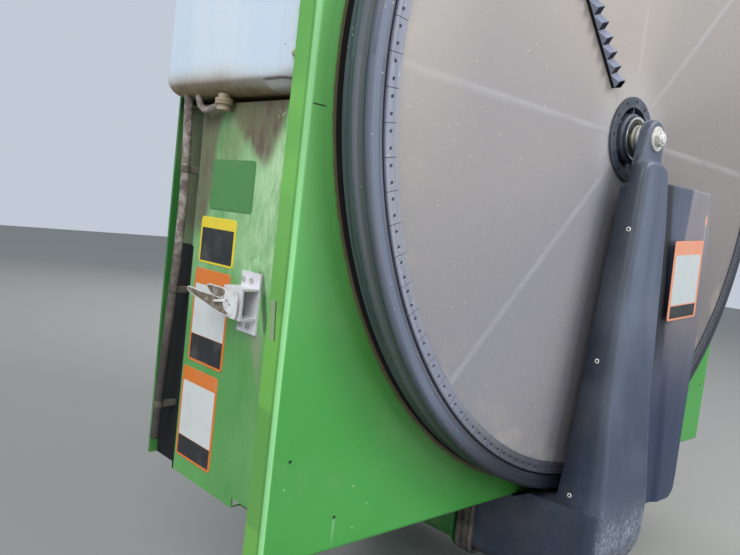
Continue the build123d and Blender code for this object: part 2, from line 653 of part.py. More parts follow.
def build():
    """Every piece of the unit, by name."""
    parts = {
        "drum_rim": drum_rim(),
        "drum_wall": drum_wall(),
        "screen_mesh": screen_mesh(),
        "clamp_band": clamp_band(),
        "rotor_spokes": rotor_spokes(),
        "rotor_hub": rotor_hub(),
        "bearing_cap": bearing_cap(),
        "toothed_strip": toothed_strip(),
        "spindle": spindle(),
        "spindle_spacer": spindle_spacer(),
        "spindle_bolt": spindle_bolt(),
        "door_sheet_upper": door_sheet(seam_z, door_half_h),
        "door_sheet_lower": door_sheet(-door_half_h, seam_z),
        "door_crossbar": door_crossbar(),
        "door_upright_top": door_upright(1),
        "door_upright_foot": door_upright(-1),
        "door_striker": door_striker(),
        "brush_seal": brush_seal(),
        "suction_arm": suction_arm(),
        "second_duct": second_duct(),
        "duct_boot": duct_boot(),
        "boot_bracket": boot_bracket(),
        "outlet_bellows": outlet_bellows(),
        "front_frame": front_frame(),
        "door_seal": door_seal(),
        "left_wall_foot": left_wall(-wall_z, niche_z0 - sheet),
        "left_wall_top": left_wall(niche_z1 + sheet, wall_z),
        "right_wall": right_wall(),
        "housing_roof": deck_sheet(1),
        "housing_floor": deck_sheet(-1),
        "rear_frame": rear_frame(),
        "tank_niche": tank_niche(),
        "coolant_tank": coolant_tank(),
        "tank_cap": tank_cap(),
        "drain_neck": drain_neck(),
        "overflow_hose": overflow_hose(),
        "hose_clips": hose_clips(),
        "latch_base": latch_base(),
        "latch_lever": latch_lever(),
        "suction_inlet": suction_inlet(),
        "inlet_hanger": inlet_hanger(),
    }
    for name, z in hinge_heights.items():
        parts["hinge_leaf_" + name] = hinge_leaf(z)
        parts["hinge_bracket_" + name] = hinge_bracket(z)
    return parts


if __name__ == "__main__":
    os.makedirs("parts", exist_ok=True)
    for name, solid in build().items():
        export_step(solid, f"parts/{name}.step")
        print(name, round(solid.volume))
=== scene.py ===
# %% [markdown]
# # Rotary cooling-air screen unit of a combine harvester
#
# A big harvester cools its engine through a round screen that turns in a green door. A long duct in
# front of the screen sucks the chaff off it. The solids of this unit are already exact and stay where
# they are. This notebook gives them their looks: cloth, mouldings, screws, signs, paint and dust.
#
# Shapes are worked out in millimetres, with y counted from the face of the screen, until a mesh is
# made. The camera, the lamps and the coordinates that a finish reads are in metres.

# %% Load the unit and measure it
import bpy
import json
import math
import numpy as np
from mathutils import Matrix, Vector


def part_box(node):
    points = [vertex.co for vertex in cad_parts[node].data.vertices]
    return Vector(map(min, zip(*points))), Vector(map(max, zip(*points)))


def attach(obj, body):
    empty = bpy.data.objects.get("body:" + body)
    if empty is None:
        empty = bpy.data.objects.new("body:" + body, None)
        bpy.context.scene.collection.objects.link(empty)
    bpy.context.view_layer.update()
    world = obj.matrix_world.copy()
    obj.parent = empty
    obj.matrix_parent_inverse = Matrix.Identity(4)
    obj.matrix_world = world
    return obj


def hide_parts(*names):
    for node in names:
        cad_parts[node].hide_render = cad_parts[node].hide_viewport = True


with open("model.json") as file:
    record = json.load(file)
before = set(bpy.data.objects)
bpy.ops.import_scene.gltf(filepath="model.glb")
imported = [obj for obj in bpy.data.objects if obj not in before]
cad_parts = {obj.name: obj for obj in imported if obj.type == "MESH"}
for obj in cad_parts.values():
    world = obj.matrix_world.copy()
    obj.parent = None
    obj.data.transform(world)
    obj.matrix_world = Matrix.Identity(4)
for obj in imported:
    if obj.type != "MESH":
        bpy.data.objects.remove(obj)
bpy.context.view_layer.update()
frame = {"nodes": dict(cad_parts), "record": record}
MM = 0.001
spin = next(j for j in frame["record"]["behaviour"]["joints"] if j["name"] == "screen_spin")
face_y = spin["pos_m"][1]


def reach(node):
    """Lowest and highest corner of a solid in millimetres, y counted from the screen face."""
    low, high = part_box(node)
    shift = np.array([0.0, face_y, 0.0])
    return (np.array(low) - shift) / MM, (np.array(high) - shift) / MM


print("solids:", len(frame["nodes"]), "screen face at y =", face_y, "m")

# %% [markdown]
# ## Camera
#
# The photo was taken by hand, close to the unit and from its left. The screen's ring of evenly spaced
# holes fixes where the camera stood: the ring is a circle of known size, and only one place shows it
# as that ellipse. The camera then only needs its place, the two angles it looks along, and its tilt.

# %% Set up the camera
camera_place = Vector((-1.2144, -1.098, -0.18858))
yaw, pitch, roll = (math.radians(a) for a in (43.6, -4.88, -6.62))
photo_width, focal_px, sensor = 740, 720, 36.0

forward = Vector((math.sin(yaw) * math.cos(pitch), math.cos(yaw) * math.cos(pitch), math.sin(pitch)))
level = Vector((math.cos(yaw), -math.sin(yaw), 0.0))
below = forward.cross(level)
below = below if below.z < 0 else -below
right = math.cos(roll) * level + math.sin(roll) * below
down = -math.sin(roll) * level + math.cos(roll) * below

camera = bpy.data.objects.new("camera", bpy.data.cameras.new("camera"))
camera.data.sensor_width = sensor
camera.data.lens = focal_px * sensor / photo_width
camera.data.clip_start = 0.01
turn = Matrix((right, -down, -forward)).transposed().to_4x4()
camera.matrix_world = Matrix.Translation(camera_place) @ turn
bpy.context.scene.collection.objects.link(camera)
bpy.context.scene.camera = camera
print("lens", round(camera.data.lens, 2), "mm")

# %% [markdown]
# ## Light and floor
#
# Outdoors the sky is one huge soft lamp, and the sun comes from the upper right, which throws a soft
# shadow of the duct to its left. Large area lamps do both without hard edges. The floor is plain.

# %% Light the unit
floor_z = -0.86
scene = bpy.context.scene
scene.view_settings.view_transform = "Standard"
world = bpy.data.worlds.new("sky")
world.use_nodes = True
world.node_tree.nodes["Background"].inputs["Color"].default_value = (0.80, 0.88, 1.0, 1.0)
world.node_tree.nodes["Background"].inputs["Strength"].default_value = 0.67
scene.world = world

#        name     place                aims at            size  watts colour
lamps = [
    ("key_lamp", (1.5, -2.6, 2.4), (0.1, -0.45, 0.1), 1.4, 110.0, (1.0, 0.97, 0.93)),
    ("left_lamp", (-2.9, -1.7, 2.2), (-0.64, -0.3, 0.0), 2.6, 104.0, (0.96, 0.98, 1.0)),
    ("front_lamp", (0.4, -3.4, 0.2), (0.0, -0.45, -0.1), 2.0, 29.0, (0.92, 0.96, 1.0)),
    ("rear_lamp", (1.8, 3.0, 1.8), (0.0, 0.0, 0.0), 2.6, 60.0, (1.0, 1.0, 1.0)),
]
for name, place, target, size, watts, colour in lamps:
    data = bpy.data.lights.new(name, "AREA")
    data.size, data.energy, data.color = size, watts, colour
    lamp = bpy.data.objects.new(name, data)
    lamp.location = place
    lamp.rotation_euler = (Vector(target) - Vector(place)).to_track_quat("-Z", "Y").to_euler()
    scene.collection.objects.link(lamp)
print("lamps:", len(lamps))

# %% [markdown]
# ## Shapes as arrays
#
# Every new piece is a surface worked out with numpy. A shape holds points with the quads and triangles
# between them, and shapes add up, so a piece may be many small shapes. The commonest shape is a grid:
# a closed outline carried along a path, row by row. A closed grid has a volume, and the sign of that
# volume tells whether its faces point outwards.

# %% Shape, grid and caps
class Shape:
    """Points with the quads and triangles between them."""

    def __init__(self, points, quads=(), tris=()):
        self.points = np.asarray(points, float).reshape(-1, 3)
        self.quads = np.asarray(quads, int).reshape(-1, 4)
        self.tris = np.asarray(tris, int).reshape(-1, 3)

    def __add__(self, other):
        n = len(self.points)
        return Shape(np.vstack([self.points, other.points]),
                     np.vstack([self.quads, other.quads + n]), np.vstack([self.tris, other.tris + n]))

    def outward(self):
        """Faces turned outwards: six times the volume about the middle is the sum of a . (b x c)."""
        t = np.vstack([self.tris, self.quads[:, [0, 1, 2]], self.quads[:, [0, 2, 3]]])
        a, b, c = (self.points[t[:, i]] - self.points.mean(axis=0) for i in range(3))
        if np.einsum("ij,ij->i", a, np.cross(b, c)).sum() < 0:
            return Shape(self.points, self.quads[:, ::-1], self.tris[:, ::-1])
        return self


def joined(*columns):
    """Coordinates side by side as points, each spread over the shape of the others."""
    return np.stack(np.broadcast_arrays(*columns), axis=-1)


def full_turn(count):
    """Equal angles round a full turn."""
    return np.linspace(0, 2 * np.pi, count, endpoint=False)


def grid(rows, around=True, along=False):
    """Quads over rows of points, an array (rows, points, 3), closed around a row or along the rows."""
    rows = np.asarray(rows, float)
    m, n = rows.shape[:2]
    index = np.arange(m * n).reshape(m, n)
    if around:
        index = np.hstack([index, index[:, :1]])
    if along:
        index = np.vstack([index, index[:1]])
    quads = np.stack([index[:-1, :-1], index[:-1, 1:], index[1:, 1:], index[1:, :-1]], axis=-1)
    return Shape(rows, quads)


def capped(rows):
    """A grid closed around, with a fan of triangles to the middle of its first and last row."""
    rows = np.asarray(rows, float)
    m, n = rows.shape[:2]
    body = grid(rows)
    first, last = np.arange(n), np.arange((m - 1) * n, m * n)
    points = np.vstack([body.points, rows[0].mean(axis=0), rows[-1].mean(axis=0)])
    fans = np.vstack([joined(m * n, np.roll(first, -1), first),
                      joined(m * n + 1, last, np.roll(last, -1))])
    return Shape(points, body.quads, fans).outward()


def spun(profile, count=360, wave=0.0):
    """Ring about the screen's axis: a closed profile of (radius, y) turned through equal angles."""
    profile = np.asarray(profile, float)
    turn = full_turn(count)[:, None]
    r, y = profile[:, 0] + wave, profile[:, 1]
    return grid(joined(r * np.cos(turn), y, r * np.sin(turn)), along=True).outward()


def turned(profile, count=20):
    """Solid about its own upright axis from (radius, height) points, closed at both ends."""
    profile = np.asarray(profile, float)
    turn = full_turn(count)[None, :]
    r, h = profile[:, :1], profile[:, 1:]
    return capped(joined(r * np.cos(turn), r * np.sin(turn), h))


print("shape tools ready")

# %% [markdown]
# Outlines come in two kinds. A loop is a rectangle with round corners, which covers plates, boxes and
# the ends of ducts. A soft path is an open line of corners, each rounded by the curve that leaves one
# straight side and joins the next. Both work on many rows at once.

# %% Outlines
def loops(u0, u1, v0, v1, radius, steps=7):
    """Rounded rectangles between u0..u1 and v0..v1, one for each row: centre + radius (cos, sin)."""
    u0, u1, v0, v1, radius = (np.atleast_1d(np.asarray(a, float)) for a in (u0, u1, v0, v1, radius))
    rows = max(len(a) for a in (u0, u1, v0, v1, radius))
    u0, u1, v0, v1, radius = (np.broadcast_to(a, rows)[:, None] for a in (u0, u1, v0, v1, radius))
    radius = np.maximum(radius, 0.01)
    out = []
    for quarter, (u, v) in enumerate([(u1 - radius, v1 - radius), (u0 + radius, v1 - radius),
                                      (u0 + radius, v0 + radius), (u1 - radius, v0 + radius)]):
        a = np.linspace(0, np.pi / 2, steps)[None, :] + quarter * np.pi / 2
        out.append(joined(u + radius * np.cos(a), v + radius * np.sin(a)))
    return np.concatenate(out, axis=1)


def soft_path(corners, radii, steps=6):
    """Open outlines with soft corners. From side to side a corner is the curve
    ((1-t)^2 a + 2wt(1-t) corner + t^2 b) / ((1-t)^2 + 2wt(1-t) + t^2), with w the cosine of 45 degrees,
    which is a quarter circle where the corner is square."""
    corners = np.asarray(corners, float)
    middle = corners[:, 1:-1]
    radii = np.broadcast_to(np.asarray(radii, float), middle.shape[:2])[..., None]
    back, ahead = corners[:, :-2] - middle, corners[:, 2:] - middle
    a = middle + radii * back / np.linalg.norm(back, axis=-1, keepdims=True)
    b = middle + radii * ahead / np.linalg.norm(ahead, axis=-1, keepdims=True)
    t = np.linspace(0, 1, steps)[None, None, :, None]
    near, pull, far = (1 - t) ** 2, 2 * math.sqrt(0.5) * t * (1 - t), t ** 2
    curve = near * a[:, :, None] + pull * middle[:, :, None] + far * b[:, :, None]
    curve = curve / (near + pull + far)
    rows = curve.reshape(len(corners), -1, corners.shape[-1])
    return np.concatenate([corners[:, :1], rows, corners[:, -1:]], axis=1)


def eased(table, at, window):
    """Columns of a table read between its rows, the bends softened by an average over a window."""
    table = np.asarray(table, float)
    table = table[np.argsort(table[:, 0])]
    near = np.asarray(at, float)[None, :] + np.linspace(-window, window, 11)[:, None]
    return [np.interp(near, table[:, 0], column).mean(axis=0) for column in table.T[1:]]


def arc(r, start, stop, steps=6):
    """Offsets along a round edge: r (cos, sin) from one angle to another, in degrees."""
    a = np.radians(np.linspace(start, stop, steps))
    return joined(r * np.cos(a), r * np.sin(a))


def unit_normals(step):
    """The steps of a flat line turned left by a right angle, each of length 1: (-v, u) / |(u, v)|."""
    return joined(-step[:, 1], step[:, 0]) / np.linalg.norm(step, axis=1)[:, None]


def along(line, count):
    """Points spread evenly along a line of corners."""
    line = np.asarray(line, float)
    far = np.concatenate([[0], np.cumsum(np.linalg.norm(np.diff(line, axis=0), axis=1))])
    at = np.linspace(0, far[-1], count)
    return joined(*(np.interp(at, far, column) for column in line.T))


def tube(corners, radius, count=80, around=16, window=6):
    """Round tube at one x: the line of corners, softened by a moving average, with rings spanned by
    the x axis and by the cross product of the line's step with it."""
    line = along(corners, count)
    ends = np.vstack([np.repeat(line[:1], window, axis=0), line, np.repeat(line[-1:], window, axis=0)])
    share = np.ones(2 * window + 1) / (2 * window + 1)
    line = joined(*(np.convolve(column, share, "valid") for column in ends.T))
    step = np.gradient(line, axis=0)
    aside = np.cross(step / np.linalg.norm(step, axis=1)[:, None], (1.0, 0.0, 0.0))[:, None]
    a = full_turn(around)[None, :, None]
    return capped(line[:, None] + radius * (np.cos(a) * np.array([1.0, 0.0, 0.0]) + np.sin(a) * aside))


def plate(across, up, thick, radius, edge=0.6):
    """Thin plate in its own u, v plane, standing on w = 0: rounded outline, its front edge eased."""
    inset = np.array([0.0, 0.0, edge * 0.3, edge, edge + 1.0])
    height = np.array([0.0, thick - edge, thick - edge * 0.3, thick, thick])
    half_u, half_v = across / 2 - inset, up / 2 - inset
    flat = loops(-half_u, half_u, -half_v, half_v, radius - inset)
    return capped(joined(flat[..., 0], flat[..., 1], height[:, None]))


def axes_towards(direction):
    """Three rows u, v, w of a frame whose w is the direction and whose v leans upwards."""
    w = np.asarray(direction, float) / np.linalg.norm(direction)
    up = np.array([0.0, 0.0, 1.0]) if abs(w[2]) < 0.9 else np.array([0.0, 1.0, 0.0])
    u = np.cross(up, w)
    u /= np.linalg.norm(u)
    return np.stack([u, np.cross(w, u), w])


def placed(shape, places, direction, spin_by=0.0):
    """Copies of a shape, its own w laid along the direction: point = place + u, v, w parts."""
    places = np.atleast_2d(np.asarray(places, float))
    count, n = len(places), len(shape.points)
    a = np.broadcast_to(np.asarray(spin_by, float), count)
    c, s, o, i = np.cos(a), np.sin(a), np.zeros(count), np.ones(count)
    twist = np.stack([np.stack([c, s, o], -1), np.stack([-s, c, o], -1), np.stack([o, o, i], -1)], 1)
    local = np.einsum("nj,kjl->knl", shape.points, twist)
    points = local @ axes_towards(direction) + places[:, None, :]
    shift = (np.arange(count) * n)[:, None, None]
    return Shape(points, (shape.quads[None] + shift), (shape.tris[None] + shift))


print("outline tools ready")

# %% [markdown]
# A finished shape becomes a mesh in metres, with its place in its points. It rides on one of the three
# bodies, and may stand for one of the exact solids, which is then hidden.

# %% Make a piece
finishes = {}


def piece(name, shape, body, slot, finish, replaces=(), crease=38.0, wall=0.0):
    """Mesh object from a shape, with its body and finish by name; slot is not used. Wall gives an
    open surface its thickness, inwards."""
    mesh = bpy.data.meshes.new(name)
    points = shape.points * MM + np.array([0.0, face_y, 0.0])
    corners = np.concatenate([shape.quads.ravel(), shape.tris.ravel()])
    sizes = np.concatenate([np.full(len(shape.quads), 4), np.full(len(shape.tris), 3)])
    starts = np.concatenate([[0], np.cumsum(sizes)[:-1]])
    mesh.vertices.add(len(points))
    mesh.vertices.foreach_set("co", points.ravel())
    mesh.loops.add(len(corners))
    mesh.loops.foreach_set("vertex_index", corners)
    mesh.polygons.add(len(sizes))
    mesh.polygons.foreach_set("loop_start", starts)
    mesh.polygons.foreach_set("loop_total", sizes)
    mesh.polygons.foreach_set("use_smooth", np.ones(len(sizes), bool))
    mesh.update(calc_edges=True)
    mesh.validate()
    mesh.set_sharp_from_angle(angle=math.radians(crease))
    obj = bpy.data.objects.new(name, mesh)
    obj.data.materials.append(finishes[finish])
    scene.collection.objects.link(obj)
    if wall:
        thick = obj.modifiers.new("wall", "SOLIDIFY")
        thick.thickness, thick.offset, thick.use_even_offset = wall * MM, -1.0, True
    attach(obj, body)
    if replaces:
        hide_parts(*replaces)
    print(f"{name}: {len(shape.quads) * 2 + len(shape.tris)} triangles on {body}")
    return obj


# %% [markdown]
# ## Finishes as expressions
#
# A finish is a Principled shader with nodes in front of it. Written as Python,
# `z.fade(0.2, 0.5) * dust + 0.2` says what it does better than a drawing of boxes does, so one small
# class wraps a socket and turns each sign into a Math node. Patterns are read from Object coordinates,
# which are metres here.

# %% Signal and Finish
class Signal:
    """A value or colour on its way through a finish. Arithmetic on it adds Math nodes."""

    def __init__(self, finish, socket):
        self.finish, self.socket = finish, socket

    def __add__(self, other): return self.finish.math("ADD", self, other)
    def __radd__(self, other): return self.finish.math("ADD", other, self)
    def __sub__(self, other): return self.finish.math("SUBTRACT", self, other)
    def __rsub__(self, other): return self.finish.math("SUBTRACT", other, self)
    def __mul__(self, other): return self.finish.math("MULTIPLY", self, other)
    def __rmul__(self, other): return self.finish.math("MULTIPLY", other, self)
    def __truediv__(self, other): return self.finish.math("DIVIDE", self, other)
    def __pow__(self, other): return self.finish.math("POWER", self, other)
    def __abs__(self): return self.finish.math("ABSOLUTE", self, 0.0)

    def fade(self, start, stop):
        """0 at start and 1 at stop, with soft ends."""
        return self.finish.node("ShaderNodeMapRange", {"interpolation_type": "SMOOTHSTEP"},
                                {"Value": self, "From Min": start, "From Max": stop})

    def band(self, low, high, soft):
        """1 between low and high, fading over soft outside them."""
        return self.fade(low - soft, low) * self.fade(high + soft, high)


class Finish:
    """A material that is written as expressions."""

    def __init__(self, name, **fixed):
        self.material = bpy.data.materials.new(name)
        self.material.use_nodes = True
        self.tree = self.material.node_tree
        self.shader = self.tree.nodes["Principled BSDF"]
        for socket, value in fixed.items():
            self.shader.inputs[socket.replace("_", " ")].default_value = value
        self.place = self.node("ShaderNodeTexCoord", output="Object")
        self.x, self.y, self.z = (self.node("ShaderNodeSeparateXYZ", {}, {0: self.place}, axis)
                                  for axis in "XYZ")

    def node(self, kind, settings=None, inputs=None, output=0):
        """Any node: its settings, then the values or links of its sockets. Gives one output."""
        made = self.tree.nodes.new(kind)
        for key, value in (settings or {}).items():
            setattr(made, key, value)
        for key, value in (inputs or {}).items():
            if isinstance(value, Signal):
                self.tree.links.new(value.socket, made.inputs[key])
            else:
                made.inputs[key].default_value = value
        return Signal(self, made.outputs[output])

    def math(self, operation, a, b):
        return self.node("ShaderNodeMath", {"operation": operation}, {0: a, 1: b})

    def most(self, a, b): return self.math("MAXIMUM", a, b)
    def sine(self, a): return self.math("SINE", a, 0.0)

    def mix(self, mask, a, b):
        """Colour a where the mask is 0 and b where it is 1."""
        return self.node("ShaderNodeMix", {"data_type": "RGBA"}, {0: mask, 6: a, 7: b}, 2)

    def base(self, mask, tone, other):
        """The first colours, as eye values: tone where the mask is 0 and other where it is 1."""
        self.colour = self.mix(mask, rgb(*tone), rgb(*other))

    def lay(self, mask, tone):
        """One more layer of colour, a Signal or eye values, where the mask lets it show."""
        self.colour = self.mix(mask, self.colour, tone if isinstance(tone, Signal) else rgb(*tone))

    def depth(self):
        """Millimetres behind the face of the screen."""
        return (self.y - face_y) / MM

    def noise(self, scale, detail=3.0, rough=0.55, stretch=None, at=None):
        """Cloudy noise, scale in patches per metre, drawn out where stretch is under 1."""
        at = at or self.place
        if stretch:
            at = self.node("ShaderNodeVectorMath", {"operation": "MULTIPLY"}, {0: at, 1: stretch})
        return self.node("ShaderNodeTexNoise", {}, {"Vector": at, "Scale": scale, "Detail": detail,
                                                    "Roughness": rough})

    def specks(self, scale, size):
        """Small dots, one in each cell, where a slow noise lets them show."""
        cell = self.node("ShaderNodeTexVoronoi", {}, {"Vector": self.place, "Scale": scale}, "Distance")
        return cell.fade(size, size * 0.5) * self.noise(scale * 0.31).fade(0.52, 0.60)

    def radius(self):
        """Metres from the screen's axis."""
        return (self.x * self.x + self.z * self.z) ** 0.5

    def angle(self):
        """Radians about the screen's axis."""
        return self.math("ARCTAN2", self.z, self.x)

    def join(self, x, y, z):
        return self.node("ShaderNodeCombineXYZ", {}, {0: x, 1: y, 2: z})

    def done(self, rough=None, metal=None, height=None, depth=0.001, strength=0.6):
        """Joins the results to the shader and gives the material."""
        for socket, value in (("Base Color", self.colour), ("Roughness", rough), ("Metallic", metal)):
            if isinstance(value, Signal):
                self.tree.links.new(value.socket, self.shader.inputs[socket])
            elif value is not None:
                self.shader.inputs[socket].default_value = value
        if height is not None:
            bump = self.node("ShaderNodeBump", {},
                             {"Height": height, "Distance": depth, "Strength": strength})
            self.tree.links.new(bump.socket, self.shader.inputs["Normal"])
        return self.material


def rgb(r, g, b):
    """A colour as the eye names it, 0 to 255, turned into the shader's linear light."""
    return tuple(c / 12.92 if c <= 0.04045 else ((c + 0.055) / 1.055) ** 2.4
                 for c in (r / 255, g / 255, b / 255)) + (1.0,)


print("finish tools ready")

# %% [markdown]
# ## Green paint
#
# The sheets are sprayed in one green, but years outdoors give them streaks, dull clouds and dust where
# water can't reach. One function gives the paint, and each sheet then adds its own dirt. Dust is matt,
# so it also raises the roughness.

# %% Paint
def green_base(finish, light=(78, 146, 70), deep=(52, 120, 54)):
    """Clean paint with broad clouds, upright streaks and fine pale scratches."""
    cloud = finish.noise(2.6, 2.0).fade(0.35, 0.68)
    finish.base(cloud, deep, light)
    streak = finish.noise(22.0, 3.0, 0.6, (1.0, 1.0, 0.06)).fade(0.56, 0.78)
    finish.lay(streak * 0.20, (130, 166, 112))
    finish.lay(finish.specks(70.0, 0.10) * 0.55, (190, 205, 170))


def orange_peel(finish):
    """The faint ripple of sprayed paint."""
    return finish.noise(190.0, 2.0)


def plain_green():
    """Paint of the roof, floor, right wall and frames, under clouds of dust."""
    finish = Finish("green_plain", Roughness=0.4)
    green_base(finish)
    dust = finish.noise(7.0, 5.0, 0.65).fade(0.45, 0.72) * 0.45
    finish.lay(dust, (140, 135, 110))
    return finish.done(0.34 + dust * 0.5, height=orange_peel(finish), depth=0.0004)


finishes["green"] = plain_green()
print("green paint ready")

# %% [markdown]
# The door's front has a seam near the middle of its height, and it is painted lighter towards the top,
# where light falls on it. A painted highlight runs along the bend to its folded side, with painted shade
# beside it. Its folded side is sun-bleached, so it is a yellower green, and darker towards its foot; a
# slot in it is painted, with a painted shadow along one edge.

# %% Door paint
door_low, door_high = reach("door_sheet_lower")
door_half_w = -door_low[0]
door_front = door_low[1]
seam_z = door_high[2]
slot_z = -333.0  # middle of the painted slot in the folded side
mark_x, mark_z, mark_length = -555.8, -608.2, 52.0  # a hole, and the water mark that runs down from it


def door_green():
    """Door paint: x and z say where on the door, y tells the front from the folded side."""
    finish = Finish("green_door", Roughness=0.3)
    cloud = finish.noise(1.9, 2.0).fade(0.32, 0.70)
    front = finish.mix(cloud, rgb(52, 138, 50), rgb(66, 148, 66))
    # Painted light: the front is painted lighter towards the top, where light falls on it.
    height = finish.z.fade(-0.45, 0.15)
    front = finish.mix(height * 0.9, front, rgb(124, 206, 114))
    side = finish.mix(cloud, rgb(100, 172, 76), rgb(126, 192, 92))
    side = finish.mix(finish.z.fade(-0.15, -0.50) * 0.6, side, rgb(84, 150, 64))
    depth_in = finish.depth() - door_front
    out = door_half_w - abs(finish.x) / MM
    returned = out.fade(5.0, 2.5)
    finish.colour = finish.mix(returned, front, side)
    block = finish.noise(3.1, 0.0, 0.0, (0.4, 0.4, 2.6)).fade(0.50, 0.55)
    finish.lay(block * returned * 0.50, (126, 198, 84))
    # Painted shade: a darker strip of the folded side just behind the bend.
    bend_shade = depth_in.fade(11.0, 9.0) * returned
    finish.lay(bend_shade * 0.45, (66, 130, 52))
    # Painted highlight: a pale line along the bend between the front and the folded side.
    pale = depth_in.fade(6.4, 4.0) * out.fade(6.0, 4.0) * out.fade(-0.6, 0.6)
    finish.lay(pale * 0.72, (160, 230, 160))
    # The slot in the folded side is painted: a pale band of dusty surface, and a painted shadow line along
    # its front edge.
    tilted = depth_in - (finish.z / MM - slot_z) * 0.09
    slot_height = finish.z.band(-0.358, -0.310, 0.003) * returned
    finish.lay(tilted.band(22.0, 32.0, 1.5) * slot_height * 0.7, (152, 160, 136))
    finish.lay(tilted.band(19.6, 21.4, 0.8) * slot_height * 0.85, (34, 58, 36))
    radius = finish.radius()
    hole_edge = 0.645  # metres, at the foot of the lip round the door's hole
    seam = finish.z.band((seam_z - 0.7) * MM, (seam_z + 0.7) * MM, 0.0006)
    finish.lay(seam * out.fade(5.0, 9.0) * radius.fade(hole_edge + 0.004, hole_edge + 0.008),
               (22, 52, 28))
    olive = radius.fade(hole_edge + 0.075, hole_edge + 0.005) * depth_in.fade(6.0, 3.0)
    finish.lay(olive * 0.35, (70, 96, 46))
    grime = radius + finish.noise(60.0, 4.0, 0.7) * 0.006
    grime = grime.fade(hole_edge + 0.0005, hole_edge - 0.0030)
    finish.lay(grime * 0.9, (92, 72, 58))
    beside = abs(finish.x - mark_x * MM).fade(0.0034, 0.0010)
    under = finish.z.fade((mark_z - mark_length) * MM, (mark_z - 8) * MM)
    under = under * finish.z.fade(mark_z * MM, (mark_z - 6) * MM)
    finish.lay(beside * under * 0.45, (140, 184, 150))
    fleck = finish.specks(28.0, 0.06)
    finish.lay(fleck * 0.7, (168, 200, 150))
    dust = finish.noise(5.0, 5.0, 0.6).fade(0.50, 0.78) * 0.22
    finish.lay(dust, (126, 150, 108))
    return finish.done(0.30 + dust * 0.6 + grime * 0.2, height=orange_peel(finish), depth=0.0003)


finishes["door"] = door_green()
print("door paint ready, seam at", seam_z, "mm")

# %% [markdown]
# The left wall is the dirtiest sheet. Water runs out under the tank and leaves brown dust in long
# streaks, with one clean wedge under the drain neck. Dirt also gathers round the latch, and a painted
# shadow of the latch lies beside it. Beyond the fold the wall is painted in shade, near black where it
# stands for the open gap there, and a painted highlight runs along the bend.

# %% Wall paint
wall_x = reach("left_wall_top")[0][0]
tank_low, tank_high = reach("coolant_tank")
latch_low = reach("latch_base")[0]
# Beyond fold_y below gap_z, and beyond recess_end_y under the tank, painted shade stands for the dark gap.
fold_y, recess_end_y, gap_z = 364.0, 428.0, -266.5  # where the wall folds back, and the dark gap there


